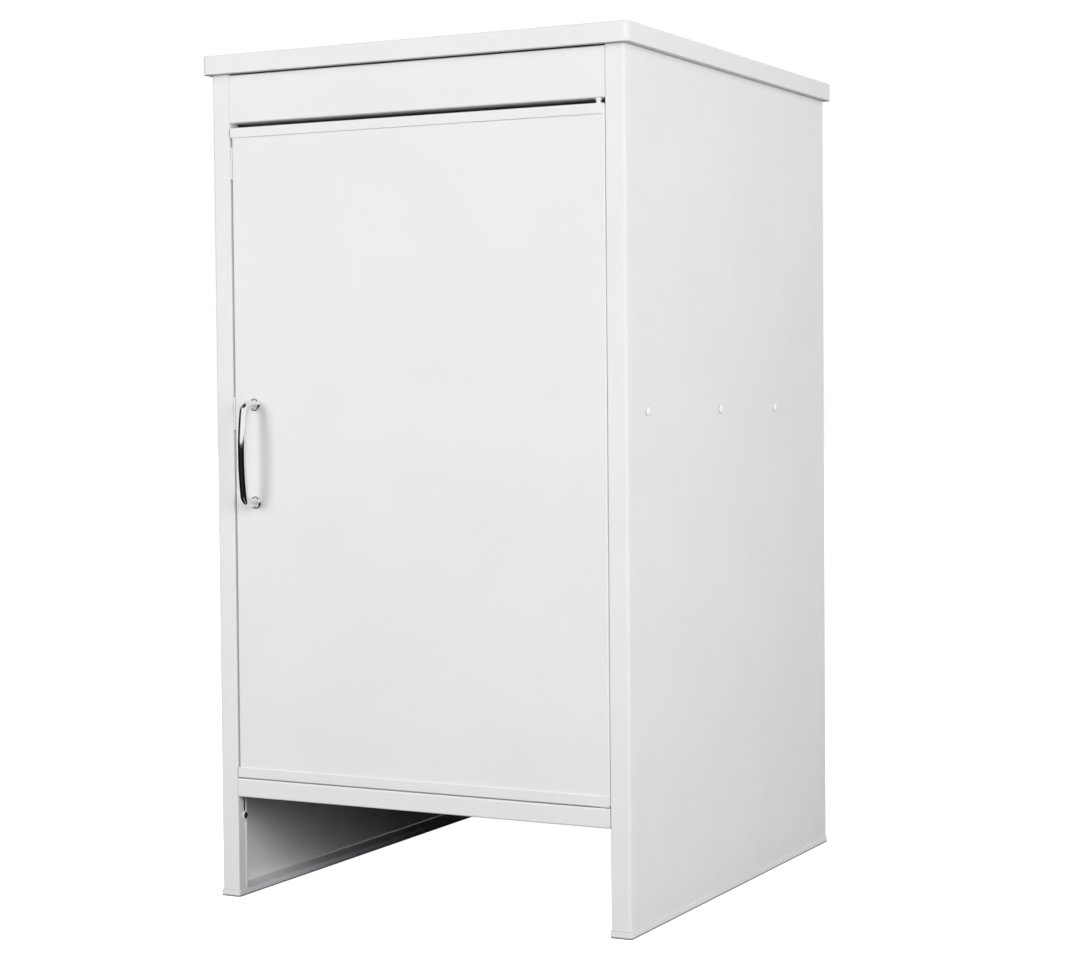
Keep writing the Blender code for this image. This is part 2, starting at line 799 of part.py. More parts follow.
# ------------------------------------------------------------------ shelf
shelf = place(
    "shelf",
    tray(
        -FIT_IN, FIT_IN, SHELF_Y0, SHELF_Y1, SHELF_TOP - SHELF_H, SHELF_TOP,
        0.0012, 0.0010, 0.0080, steps=2,
    ),
    "coat", round_shape=True,
)
cuts = bmesh.new()
for s in (-1, 1):
    for y in SHELF_SCREWS:
        add_hole(cuts, (1, 0, 0), (s * FIT_IN, y, SHELF_SCREW_Z), 0.0024, 0.008)
CATCH_X = HANDLE_X
CATCH_SCREWS = (CATCH_X - 0.0110, CATCH_X + 0.0110)
for x in CATCH_SCREWS:
    add_hole(cuts, (0, 0, 1), (x, 0.0250, SHELF_TOP), 0.0017, 0.006, 10)
boolean(shelf, tool("cut_shelf", cuts), "DIFFERENCE")


shelf_screw = turned_mesh(
    "shelf_screw", screw(0.0044, 0.0018, 0.0020, 0.0100), 16, "coat"
)
for name, s in SIDES:
    for where, y in zip(("front", "middle", "rear"), SHELF_SCREWS):
        set_in(
            "shelf_screw_%s_%s" % (name, where), shelf_screw, (s, 0, 0),
            (s * (HALF + GAP), y, SHELF_SCREW_Z),
        )

top_screw = turned_mesh(
    "top_screw", screw(0.0038, 0.0020, 0.0020, 0.0090), 12, "steel"
)
for name, s in SIDES:
    for where, y in zip(("front", "rear"), TOP_SCREW_Y):
        set_in(
            "worktop_screw_%s_%s" % (name, where), top_screw, (0, 0, -1),
            (s * TOP_SCREW_X, y, WALL_TOP - SHEET - GAP),
        )

# ------------------------------------------------------------------ magnet catch on the shelf
CATCH_Z0 = SHELF_TOP + GAP
CATCH_Y0 = 0.0160
housing = bevel_all(
    block(CATCH_X - 0.0180, CATCH_X + 0.0180, CATCH_Y0, 0.0310, CATCH_Z0, CATCH_Z0 + 0.0190),
    0.0012, 2,
)
ob = place("catch_housing", housing, "plastic", round_shape=True)
cuts = block(
    CATCH_X - 0.0125, CATCH_X + 0.0125, 0.0100, 0.0190, CATCH_Z0 + 0.0070, CATCH_Z0 + 0.0165
)
for x in CATCH_SCREWS:
    add_hole(cuts, (0, 0, 1), (x, 0.0250, CATCH_Z0), 0.0017, 0.0100, 10)
boolean(ob, tool("cut_catch", cuts), "DIFFERENCE")
STRIKE_BACK = DOOR_D + GAP + 0.0012
place(
    "catch_magnet",
    bevel_all(
        block(
            CATCH_X - 0.0121, CATCH_X + 0.0121, STRIKE_BACK + GAP, 0.0186,
            CATCH_Z0 + 0.0074, CATCH_Z0 + 0.0161,
        ),
        0.0004,
    ),
    "magnet",
)
catch_screw = turned_mesh(
    "catch_screw", screw(0.0028, 0.0016, 0.0013, 0.0050), 10, "steel"
)
for name, x in zip(("left", "right"), CATCH_SCREWS):
    set_in(
        "catch_screw_" + name, catch_screw, (0, 0, -1),
        (x, 0.0250, SHELF_TOP - SHEET - GAP),
    )

# ------------------------------------------------------------------ hinge bushes
BUSH = 24


def bush(collar_r, collar_h, sleeve_r, sleeve_h, direction, point):
    bm = bmesh.new()
    add_sleeve(
        bm,
        [
            (BORE_R, -collar_h), (BORE_R, sleeve_h), (sleeve_r, sleeve_h),
            (sleeve_r, 0), (collar_r, 0), (collar_r, -collar_h),
        ],
        BUSH,
        facing(direction, point),
    )
    return bm


place(
    "hinge_bush_top",
    bush(0.0032, 0.0015, 0.0026, 0.0030, (0, 0, 1), (HINGE_X, HINGE_Y, FASCIA_Z0 - GAP)),
    "nylon", round_shape=True,
)
place(
    "hinge_bush_bottom",
    bush(0.0032, 0.0005, 0.0026, 0.0030, (0, 0, -1), (HINGE_X, HINGE_Y, FLOOR_Z + 0.0002)),
    "nylon", round_shape=True,
)

# ------------------------------------------------------------------ door
SKIN_Z0 = DOOR_Z0 + SHEET + GAP
SKIN_Z1 = DOOR_Z1 - SHEET - GAP
LIP = 0.0080
skin = place(
    "door_skin",
    sheet(
        fold_pairs(
            [
                (DOOR_X1 - LIP, DOOR_D), (DOOR_X1, DOOR_D), (DOOR_X1, 0), (DOOR_X0, 0),
                (DOOR_X0, DOOR_D), (DOOR_X0 + LIP, DOOR_D),
            ],
            SHEET, 0.0007, 1, 4,
        ),
        SKIN_Z0, SKIN_Z1, "z",
    ),
    "coat", HINGE, True,
)
HANDLE_HOLES = (HANDLE_Z - HANDLE_PITCH / 2, HANDLE_Z + HANDLE_PITCH / 2)
cuts = bmesh.new()
for z in HANDLE_HOLES:
    add_hole(cuts, (0, 1, 0), (HANDLE_X, 0.0005, z), 0.0024, 0.006)
boolean(skin, tool("cut_skin", cuts, HINGE), "DIFFERENCE")


def channel(z_edge, z_web):
    """U channel over the skin's end; z_web is the outer face of its web."""
    y0, y1 = -CHANNEL_PROUD, DOOR_D + GAP + SHEET
    up = 1 if z_web > z_edge else -1
    return sheet(
        fold_pairs(
            [(y0, z_edge), (y0, z_web), (y1, z_web), (y1, z_edge)],
            SHEET, 0.0004, up, 3,
        ),
        CHANNEL_X0, CHANNEL_X1, "x",
    )


for label, z_edge, z_web in (
    ("top", DOOR_Z1 - CHANNEL_H, DOOR_Z1),
    ("bottom", DOOR_Z0 + CHANNEL_H + 0.0006, DOOR_Z0),
):
    ob = place("door_%s_channel" % label, channel(z_edge, z_web), "coat", HINGE, True)
    cuts = bmesh.new()
    add_hole(cuts, (0, 0, 1), (HINGE_X, HINGE_Y, z_web), 0.0023, 0.006, 24)
    boolean(ob, tool("cut_channel_" + label, cuts, HINGE), "DIFFERENCE")
    # hinge end: its front corner is cut back so that it clears the stile as the door turns
    corner = bmesh.new()
    tri = [
        (CHANNEL_X1 - 0.0024, -CHANNEL_PROUD - 0.0020),
        (CHANNEL_X1 + 0.0020, -CHANNEL_PROUD - 0.0020),
        (CHANNEL_X1 + 0.0020, -CHANNEL_PROUD + 0.0024),
        (CHANNEL_X1, -CHANNEL_PROUD + 0.0024),
        (CHANNEL_X1 - 0.0007, -CHANNEL_PROUD + 0.0007),
        (CHANNEL_X1 - 0.0024, -CHANNEL_PROUD),
    ]
    low = [corner.verts.new((x, y, min(z_edge, z_web) - 0.002)) for x, y in tri]
    face = corner.faces.new(low)
    grown = bmesh.ops.extrude_face_region(corner, geom=[face])
    bmesh.ops.translate(
        corner,
        verts=[g for g in grown["geom"] if isinstance(g, bmesh.types.BMVert)],
        vec=(0, 0, abs(z_web - z_edge) + 0.004),
    )
    boolean(ob, tool("cut_corner_" + label, corner, HINGE), "DIFFERENCE")

stiffener = place(
    "door_stiffener",
    sheet(
        fold_pairs(
            [
                (HANDLE_X - 0.0200, SHEET + GAP), (HANDLE_X - 0.0110, SHEET + GAP),
                (HANDLE_X - 0.0110, DOOR_D - GAP - SHEET),
                (HANDLE_X + 0.0110, DOOR_D - GAP - SHEET),
                (HANDLE_X + 0.0110, SHEET + GAP), (HANDLE_X + 0.0200, SHEET + GAP),
            ],
            SHEET, 0.0005, -1, 2,
        ),
        SKIN_Z0 + 0.012, SKIN_Z1 - 0.012, "z",
    ),
    "coat", HINGE, True,
)
STRIKE_Z = (CATCH_Z0 + 0.0045, CATCH_Z0 + 0.0190)
cuts = bmesh.new()
for z in HANDLE_HOLES:
    add_hole(cuts, (0, 1, 0), (HANDLE_X, DOOR_D, z), 0.0024, 0.006)
for x in (HANDLE_X - 0.0070, HANDLE_X + 0.0070):
    add_hole(cuts, (0, 1, 0), (x, DOOR_D, sum(STRIKE_Z) / 2), 0.0015, 0.006, 10)
boolean(stiffener, tool("cut_stiffener", cuts, HINGE), "DIFFERENCE")

handle_screw = turned_mesh(
    "handle_screw", screw(0.0035, 0.0020, 0.0018, 0.0155), 12, "steel"
)
for name, z in zip(("lower", "upper"), HANDLE_HOLES):
    set_in(
        "handle_screw_" + name, handle_screw, (0, 1, 0),
        (HANDLE_X, DOOR_D + 0.0001, z), HINGE,
    )

strike = place(
    "strike_plate",
    bevel_all(
        block(
            HANDLE_X - 0.0105, HANDLE_X + 0.0105, DOOR_D + GAP, STRIKE_BACK,
            STRIKE_Z[0], STRIKE_Z[1],
        ),
        0.0003,
    ),
    "steel", HINGE,
)
cuts = bmesh.new()
for x in (HANDLE_X - 0.0070, HANDLE_X + 0.0070):
    add_hole(cuts, (0, 1, 0), (x, DOOR_D, sum(STRIKE_Z) / 2), 0.0015, 0.006, 10)
boolean(strike, tool("cut_strike", cuts, HINGE), "DIFFERENCE")

# ------------------------------------------------------------------ hinge pins
pin = turned_mesh(
    "pin",
    [
        (0, 0.0066), (PIN_R - 0.0004, 0.0066), (PIN_R, 0.0060),
        (PIN_R, -SHEET - GAP), (0.0025, -SHEET - GAP), (0.0025, -0.0032),
        (PIN_R, -0.0032), (PIN_R, -0.0090), (0, -0.0090),
    ],
    BUSH, "steel",
)
for label, z_web, up in (("top", DOOR_Z1, 1), ("bottom", DOOR_Z0, -1)):
    set_in("hinge_pin_" + label, pin, (0, 0, up), (HINGE_X, HINGE_Y, z_web), HINGE)

# ------------------------------------------------------------------ pull handle
GRIP_R = 0.0040           # 8 mm tube
FLARE_R = 0.0062          # where it meets the door
FLARE_D = 0.0040
BEND_R = 0.0095           # middle line of the two bends
BOW_SLOPE = math.radians(9)
SIDES_N = 16


def handle_path(bow_steps=6, bend_steps=5):
    """Middle line of the upper half as (distance from the door, height), from the middle up."""
    half = HANDLE_PITCH / 2
    mid = HANDLE_REACH - GRIP_R
    bow_end = half - BEND_R * (1 - math.sin(BOW_SLOPE))
    bow_r = bow_end / math.sin(BOW_SLOPE)
    centre = Vector((mid - bow_r + (bow_r - BEND_R) * math.cos(BOW_SLOPE), half - BEND_R))
    line = []
    for k in range(bow_steps + 1):
        a = BOW_SLOPE * k / bow_steps
        line.append(Vector((mid - bow_r * (1 - math.cos(a)), bow_r * math.sin(a))))
    for k in range(1, bend_steps + 1):
        a = BOW_SLOPE + (math.pi / 2 - BOW_SLOPE) * k / bend_steps
        line.append(centre + BEND_R * Vector((math.cos(a), math.sin(a))))
    for depth in (0.0068, FLARE_D + GAP, 0.0026, 0.0014, 0.0007, GAP):
        line.append(Vector((depth, half)))
    return line


def handle_mesh():
    upper = handle_path()
    path = [Vector((p.x, -p.y)) for p in upper[:0:-1]] + upper
    bm = bmesh.new()
    rings = []
    for n, p in enumerate(path):
        d = path[min(n + 1, len(path) - 1)] - path[max(n - 1, 0)]
        d = Vector((-d.x, d.y)).normalized()         # along the tube as (Y, Z)
        side = Vector((-d.y, d.x))
        near = max(0.0, min(1.0, 1 - (p.x - GAP) / FLARE_D))
        r = GRIP_R + (FLARE_R - GRIP_R) * (1 - math.sqrt(1 - near * near))
        ring = []
        for k in range(SIDES_N):
            a = 2 * math.pi * k / SIDES_N
            off = side * (r * math.cos(a))
            ring.append(
                bm.verts.new(
                    (HANDLE_X + r * math.sin(a), off.x - p.x, HANDLE_Z + p.y + off.y)
                )
            )
        rings.append(ring)
    for r, q in zip(rings, rings[1:]):
        for k in range(SIDES_N):
            j = (k + 1) % SIDES_N
            bm.faces.new((r[k], r[j], q[j], q[k]))
    bm.faces.new(rings[0])
    bm.faces.new(rings[-1])
    return bm


handle = place("handle", handle_mesh(), "chrome", HINGE, True)
cuts = bmesh.new()
for z in HANDLE_HOLES:
    # threaded socket for the screw in each foot
    add_hole(cuts, (0, 1, 0), (HANDLE_X, 0.0, z), 0.0021, 0.0110)
boolean(handle, tool("cut_handle", cuts, HINGE), "DIFFERENCE")
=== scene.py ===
"""Finish of the utility base cabinet: folded sheet steel in white powder coat, chrome pull.

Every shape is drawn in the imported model's own frame: metres, +Z up, the front faces -Y.
Sections are drawn from the stiles' front plane (Y = 0 there) and moved back by FRONT_Y.
"""
import math

import bmesh
import bpy
from mathutils import Matrix, Vector


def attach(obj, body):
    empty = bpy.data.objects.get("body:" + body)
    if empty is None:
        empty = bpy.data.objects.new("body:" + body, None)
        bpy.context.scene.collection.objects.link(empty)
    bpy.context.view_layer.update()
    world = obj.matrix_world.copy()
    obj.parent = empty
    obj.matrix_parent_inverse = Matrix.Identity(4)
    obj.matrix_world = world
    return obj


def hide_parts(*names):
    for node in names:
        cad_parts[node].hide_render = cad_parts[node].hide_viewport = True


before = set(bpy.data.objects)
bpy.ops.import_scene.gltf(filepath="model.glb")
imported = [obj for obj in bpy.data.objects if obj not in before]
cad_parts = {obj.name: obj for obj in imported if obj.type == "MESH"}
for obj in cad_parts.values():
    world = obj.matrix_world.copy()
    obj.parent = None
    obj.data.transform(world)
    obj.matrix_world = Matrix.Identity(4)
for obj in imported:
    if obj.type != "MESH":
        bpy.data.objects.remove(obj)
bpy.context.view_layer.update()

# ------------------------------------------------------------------ dimensions
BODY_W, BODY_D, TOTAL_H = 0.450, 0.500, 0.830
SHEET, GAP = 0.0010, 0.0003
TOP_T, TOP_SIDE, TOP_FRONT, TOP_BACK = 0.0183, 0.007, 0.007, 0.007
TOP_CORNER, TOP_RETURN = 0.0055, 0.012
STILE_W, RETURN_D, HEM_D, HEM_PROUD = 0.020, 0.0143, 0.0024, 0.0008
REAR_FLANGE, TOP_FLANGE = 0.015, 0.024
FOOT_H, FOOT_PROUD = 0.0066, 0.0012
LEG_H, RAIL_H = 0.100, 0.0183
FLOOR_Z = LEG_H + RAIL_H
FASCIA_Z0, FASCIA_Z1, FASCIA_HALF, FLANGE_D, FASCIA_DEEP = 0.7636, 0.8105, 0.2049, 0.0150, 0.0290
DOOR_Z0, DOOR_Z1, DOOR_X0, DOOR_X1, DOOR_D = 0.1193, 0.7589, -0.2027, 0.2044, 0.0115
CHANNEL_X0, CHANNEL_X1, CHANNEL_H, CHANNEL_PROUD = -0.2036, 0.2035, 0.0097, 0.0013
HINGE_X, HINGE_Y, PIN_R, BORE_R = 0.1970, 0.0038, 0.0020, 0.00208
HANDLE_X, HANDLE_Z, HANDLE_PITCH, HANDLE_REACH = -0.1796, 0.4399, 0.0960, 0.0262
SHELF_TOP, SHELF_H, SHELF_Y0, SHELF_Y1 = 0.4883, 0.0180, 0.0160, 0.3780
SHELF_SCREWS, SHELF_SCREW_Z = (0.0435, 0.2130, 0.3550), 0.4795

FRONT_Y = (HANDLE_REACH - BODY_D - TOP_BACK) / 2
HALF = BODY_W / 2
PANEL_TOP = TOTAL_H - TOP_T - GAP
WALL_TOP = PANEL_TOP - 0.0002
TOP_Z0 = TOTAL_H - TOP_T
WALL_IN = HALF - SHEET
FIT_IN = WALL_IN - 0.0008
IN_X = HALF - STILE_W
KEY_Y, KEY_Z = 0.0100, 0.0800
RIVET_X = HALF - 0.0085
BACK_RIVETS = (("low", 0.060), ("middle", 0.400), ("high", 0.745))
EDGE = 0.00022            # rounding that the coat gives to a cut edge
SIDES = (("left", -1), ("right", 1))
ROUNDING = (0, 30, 60, 90)


# ------------------------------------------------------------------ materials
def tree_of(name):
    m = bpy.data.materials.new(name)
    m.use_nodes = True
    t = m.node_tree
    return m, t, t.nodes["Principled BSDF"]


def add(t, kind, **values):
    n = t.nodes.new(kind)
    for key, value in values.items():
        if key.startswith("in_"):
            n.inputs[key[3:].replace("_", " ")].default_value = value
        else:
            setattr(n, key, value)
    return n


def noise_of(t, coords, scale, detail=2.0, rough=0.5, stretch=None):
    n = add(t, "ShaderNodeTexNoise")
    n.inputs["Scale"].default_value = scale
    n.inputs["Detail"].default_value = detail
    n.inputs["Roughness"].default_value = rough
    if stretch:
        m = add(t, "ShaderNodeMapping")
        m.inputs["Scale"].default_value = stretch
        t.links.new(coords, m.inputs["Vector"])
        coords = m.outputs["Vector"]
    t.links.new(coords, n.inputs["Vector"])
    return n.outputs["Fac"]


def ramp(t, source, low, high, out_low, out_high):
    n = add(t, "ShaderNodeMapRange")
    n.interpolation_type = "SMOOTHSTEP"
    for key, value in (
        ("From Min", low), ("From Max", high), ("To Min", out_low), ("To Max", out_high)
    ):
        n.inputs[key].default_value = value
    t.links.new(source, n.inputs["Value"])
    return n.outputs["Result"]


def tint(t, source, dark, light):
    n = add(t, "ShaderNodeMix", data_type="RGBA")
    n.inputs["A"].default_value = (*dark, 1)
    n.inputs["B"].default_value = (*light, 1)
    t.links.new(source, n.inputs["Factor"])
    return n.outputs["Result"]


def bumps(t, heights):
    """Chained bumps: (height output, depth in metres) from the broadest to the finest."""
    normal = None
    for height, depth in heights:
        b = add(t, "ShaderNodeBump")
        b.inputs["Strength"].default_value = 1.0
        b.inputs["Distance"].default_value = depth
        t.links.new(height, b.inputs["Height"])
        if normal:
            t.links.new(normal, b.inputs["Normal"])
        normal = b.outputs["Normal"]
    return normal


def powder_coat(name, dark, light, rough):
    """Satin powder coat: cloudy film thickness, orange peel and a fine tooth."""
    m, t, b = tree_of(name)
    at = add(t, "ShaderNodeTexCoord").outputs["Object"]
    cloud = noise_of(t, at, 9.0, 3.0, 0.55)
    film = noise_of(t, at, 75.0, 2.0, 0.5)
    peel = noise_of(t, at, 420.0, 1.5, 0.45)
    tooth = noise_of(t, at, 2600.0, 1.0, 0.5)
    t.links.new(tint(t, ramp(t, cloud, 0.30, 0.70, 0, 1), dark, light), b.inputs["Base Color"])
    t.links.new(ramp(t, film, 0.25, 0.75, rough - 0.035, rough + 0.045), b.inputs["Roughness"])
    t.links.new(
        bumps(t, [(film, 0.000010), (peel, 0.000012), (tooth, 0.0000012)]),
        b.inputs["Normal"],
    )
    b.inputs["IOR"].default_value = 1.48
    b.inputs["Coat Weight"].default_value = 0.06
    b.inputs["Coat Roughness"].default_value = 0.16
    return m


def moulded(name, dark, light, rough, grain=0.0000045, contact_shadow_below=0.0):
    """Moulded plastic with spark-eroded grain, flow marks and slight handling shine.

    Below the given height it is darkened to grey: a painted contact shadow where it stands on the floor.
    """
    m, t, b = tree_of(name)
    at = add(t, "ShaderNodeTexCoord").outputs["Object"]
    flow = noise_of(t, at, 28.0, 2.0, 0.5, (1, 0.25, 1))
    spark = noise_of(t, at, 2100.0, 2.0, 0.6)
    shade = tint(t, ramp(t, flow, 0.3, 0.7, 0, 1), dark, light)
    # painted contact shadow: below the given height the colour turns dark grey, its edge jittered by noise
    if contact_shadow_below:
        parts = add(t, "ShaderNodeSeparateXYZ")
        t.links.new(at, parts.inputs["Vector"])
        shadow_edge_noise = noise_of(t, at, 160.0, 3.0, 0.6)
        height = add(t, "ShaderNodeMath", operation="MULTIPLY_ADD")
        t.links.new(shadow_edge_noise, height.inputs[0])
        height.inputs[1].default_value = -0.0006
        t.links.new(parts.outputs["Z"], height.inputs[2])
        low = ramp(t, height.outputs["Value"], contact_shadow_below * 0.5, contact_shadow_below, 1, 0)
        n = add(t, "ShaderNodeMix", data_type="RGBA")
        t.links.new(low, n.inputs["Factor"])
        t.links.new(shade, n.inputs["A"])
        n.inputs["B"].default_value = (0.30, 0.30, 0.31, 1)
        shade = n.outputs["Result"]
    t.links.new(shade, b.inputs["Base Color"])
    t.links.new(ramp(t, flow, 0.3, 0.7, rough - 0.05, rough + 0.05), b.inputs["Roughness"])
    t.links.new(bumps(t, [(flow, 0.00001), (spark, grain)]), b.inputs["Normal"])
    b.inputs["IOR"].default_value = 1.46
    return m


def metal(name, dark, light, rough, spread, scratch, stretch, scale=180.0):
    """Plated metal: cloudy plating, drawn or polished scratches in one direction."""
    m, t, b = tree_of(name)
    at = add(t, "ShaderNodeTexCoord").outputs["Object"]
    cloud = noise_of(t, at, scale, 3.0, 0.55)
    lines = noise_of(t, at, 3000.0, 2.0, 0.6, stretch)
    t.links.new(tint(t, ramp(t, cloud, 0.3, 0.7, 0, 1), dark, light), b.inputs["Base Color"])
    t.links.new(ramp(t, cloud, 0.25, 0.75, rough, rough + spread), b.inputs["Roughness"])
    t.links.new(bumps(t, [(cloud, 0.0000015), (lines, scratch)]), b.inputs["Normal"])
    b.inputs["Metallic"].default_value = 1.0
    return m


COAT = powder_coat("white_powder_coat", (0.852, 0.853, 0.858), (0.872, 0.872, 0.876), 0.40)
# painted shade: a dark grey coat for hidden faces under the cabinet, where shade falls
UNDERSIDE_SHADE_COAT = powder_coat("underside_painted_shade", (0.135, 0.135, 0.14), (0.185, 0.185, 0.19), 0.62)
# whiter than the panel coat: partly the screw heads' own paint, partly painted light for their brighter look
SCREW_HEAD_WHITE_LIT_COAT = powder_coat("screw_head_whiter_and_lit_coat", (0.925, 0.926, 0.93), (0.95, 0.95, 0.953), 0.36)
# the strips carry a painted contact shadow along their lowest 1.8 mm
STRIP = moulded("strip_plastic", (0.85, 0.85, 0.862), (0.88, 0.88, 0.89), 0.46, contact_shadow_below=0.0018)
CATCH = moulded("catch_plastic", (0.84, 0.84, 0.83), (0.88, 0.88, 0.87), 0.42)
NYLON = moulded("bush_nylon", (0.88, 0.88, 0.86), (0.92, 0.92, 0.90), 0.38, 0.000002)
CHROME = metal("chrome_plate", (0.83, 0.835, 0.845), (0.88, 0.885, 0.89), 0.035, 0.045, 0.0000002, (1, 1, 0.05), 60.0)
ZINC = metal("zinc_plate", (0.60, 0.61, 0.62), (0.74, 0.745, 0.75), 0.20, 0.16, 0.0000008, (1, 1, 0.2), 700.0)
# painted shade: near-black metal for the keyhole slot and the keyhole screw's crown
SHADE_DARK_METAL = metal("painted_shade_metal", (0.10, 0.10, 0.105), (0.16, 0.16, 0.165), 0.50, 0.15, 0.000001, (1, 1, 0.3), 900.0)
FERRITE = moulded("ferrite", (0.045, 0.045, 0.048), (0.085, 0.085, 0.090), 0.62, 0.00001)


# ------------------------------------------------------------------ objects
def link(name, me):
    ob = bpy.data.objects.new(name, me)
    bpy.context.scene.collection.objects.link(ob)
    return ob


def mesh_from(name, bm):
    bmesh.ops.recalc_face_normals(bm, faces=bm.faces)
    me = bpy.data.meshes.new(name)
    bm.to_mesh(me)
    bm.free()
    return me


def booled(me, cutters, operation="DIFFERENCE"):
    """The mesh with each cutter applied, exactly."""
    ob = link("blank", me)
    made = []
    for bm in cutters:
        other = link("tool", mesh_from("tool", bm))
        mod = ob.modifiers.new("cut", "BOOLEAN")
        mod.operation = operation
        mod.solver = "EXACT"
        mod.object = other
        made.append(other)
    bpy.context.view_layer.update()
    result = bpy.data.meshes.new_from_object(
        ob.evaluated_get(bpy.context.evaluated_depsgraph_get())
    )
    for o in [ob, *made]:
        bpy.data.objects.remove(o)
    return result


def dress(me, finish, angle=34):
    me.materials.clear()
    me.materials.append(finish)
    me.shade_smooth()
    me.set_sharp_from_angle(angle=math.radians(angle))
    return me


def piece(node, me, finish, body, matrix=None, angle=34, weighted=True, back=True):
    """A finished piece in the place of a CAD node."""
    if finish is not None:
        dress(me, finish, angle)
    ob = link(node + "_detail", me)
    if matrix is not None:
        ob.matrix_world = Matrix.Translation((0, FRONT_Y, 0)) @ matrix
    elif back:
        me.transform(Matrix.Translation((0, FRONT_Y, 0)))
    if weighted:
        w = ob.modifiers.new("normals", "WEIGHTED_NORMAL")
        w.mode = "FACE_AREA"
        w.keep_sharp = True
        w.weight = 60
    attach(ob, body)
    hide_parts(node)
    return ob


# ------------------------------------------------------------------ shape builders
def right_of(d):
    return Vector((d.y, -d.x))


def spaced(length, step, extra=(), support=0.0008):
    """Distances along a straight run: supports near both ends, even steps, wanted extras."""
    found = []
    if length > 4 * support:
        found += [support, length - support]
    n = max(1, int(math.ceil(length / step)))
    found += [length * k / n for k in range(1, n)]
    found += [e for e in extra if 0 < e < length]
    found.sort()
    kept = []
    for s in found:
        if s > 0.25 * support and length - s > 0.25 * support:
            if not kept or s - kept[-1] > 0.0004:
                kept.append(s)
    return kept


def folded(path, inner_radius, side, steps=6, step=0.022, t=SHEET, extra=None):
    """Both faces of a folded sheet as [outer, inner, distance to the nearest fold]."""
    pts = [Vector(p) for p in path]
    dirs = [(b - a).normalized() for a, b in zip(pts, pts[1:])]
    raw = [(pts[0], pts[0] + right_of(dirs[0]) * t * side)]
    for i in range(1, len(pts) - 1):
        d0, d1 = dirs[i - 1], dirs[i]
        turn = math.atan2(d0.x * d1.y - d0.y * d1.x, d0.dot(d1))
        inward = -1 if turn > 0 else 1
        inside = inner_radius[i - 1] if isinstance(inner_radius, tuple) else inner_radius
        radius = inside + (t if inward == side else 0)
        back = radius * math.tan(abs(turn) / 2)
        start = pts[i] - d0 * back
        centre = start + right_of(d0) * radius * inward
        for k in range(steps + 1):
            spin = Matrix.Rotation(turn * k / steps, 2)
            out = spin @ (start - centre)
            other = radius - t * side * inward
            raw.append((centre + out, centre + out * (other / radius)))
    raw.append((pts[-1], pts[-1] + right_of(dirs[-1]) * t * side))
    pairs = [[raw[0][0], raw[0][1], 0.0]]
    for i in range(len(raw) - 1):
        (a0, b0), (a1, b1) = raw[i], raw[i + 1]
        run = i // (steps + 1)
        if i % (steps + 1) == 0:
            length = (a1 - a0).length
            for s in spaced(length, step, (extra or {}).get(run, ())):
                f = s / length
                pairs.append([a0.lerp(a1, f), b0.lerp(b1, f), min(s, length - s)])
        pairs.append([a1, b1, 0.0])
    return pairs


def soft_ends(pairs, start=EDGE, end=EDGE):
    """Rounds the two cut edges of a section."""
    def rounded(last, before, e):
        d = (last[0] - before[0]).normalized()
        n = (last[1] - last[0]).normalized()
        out = []
        for deg in ROUNDING:
            a = math.radians(deg)
            along = -e + e * math.sin(a)
            inset = e * (1 - math.cos(a))
            out.append(
                [last[0] + d * along + n * inset, last[1] + d * along - n * inset, 0.0]
            )
        return out

    body = [p for p in pairs]
    head = rounded(body[0], body[1], start)[::-1]
    tail = rounded(body[-1], body[-2], end)
    inner = body[1:-1]
    inner = [p for p in inner if (p[0] - body[0][0]).length > start * 1.2]
    inner = [p for p in inner if (p[0] - body[-1][0]).length > end * 1.2]
    return head + inner + tail


def stations(a, b, step=0.022, extra=(), e=EDGE):
    out = []
    for deg in reversed(ROUNDING):
        r = math.radians(deg)
        out.append((a + e - e * math.sin(r), e * (1 - math.cos(r)), 0.0))
    lo, hi = a + e, b - e
    for s in spaced(hi - lo, step, [x - lo for x in extra]):
        out.append((lo + s, 0.0, min(s, hi - lo - s)))
    for deg in ROUNDING:
        r = math.radians(deg)
        out.append((b - e + e * math.sin(r), e * (1 - math.cos(r)), 0.0))
    return out


def sheet(pairs, rows, along, wave=None):
    """Sweeps a folded section along Z or X.  wave(point, station, fade) sinks the sheet."""
    bm = bmesh.new()

    def at(p, s):
        if along == "z":
            return (p.x, p.y, s)
        if along == "y":
            return (p.x, s, p.y)
        return (s, p.x, p.y)

    grid = []
    for s, inset, ds in rows:
        outer, inner = [], []
        for face, back, dist in pairs:
            n = back - face
            n.normalize()
            w = 0.0
            if wave:
                fade = min(1.0, dist / 0.045) * min(1.0, ds / 0.045)
                w = wave(face, s, fade * fade * (3 - 2 * fade))
            outer.append(bm.verts.new(at(face + n * (inset + w), s)))
            inner.append(bm.verts.new(at(back - n * (inset - w), s)))
        grid.append((outer, inner))
    last = len(pairs) - 1
    for (o0, i0), (o1, i1) in zip(grid, grid[1:]):
        for k in range(last):
            bm.faces.new((o0[k], o0[k + 1], o1[k + 1], o1[k]))
            bm.faces.new((i0[k], i1[k], i1[k + 1], i0[k + 1]))
        for k in (0, last):
            bm.faces.new((o0[k], o1[k], i1[k], i0[k]))
    for outer, inner in (grid[0], grid[-1]):
        for k in range(last):
            bm.faces.new((outer[k], inner[k], inner[k + 1], outer[k + 1]))
    return bm


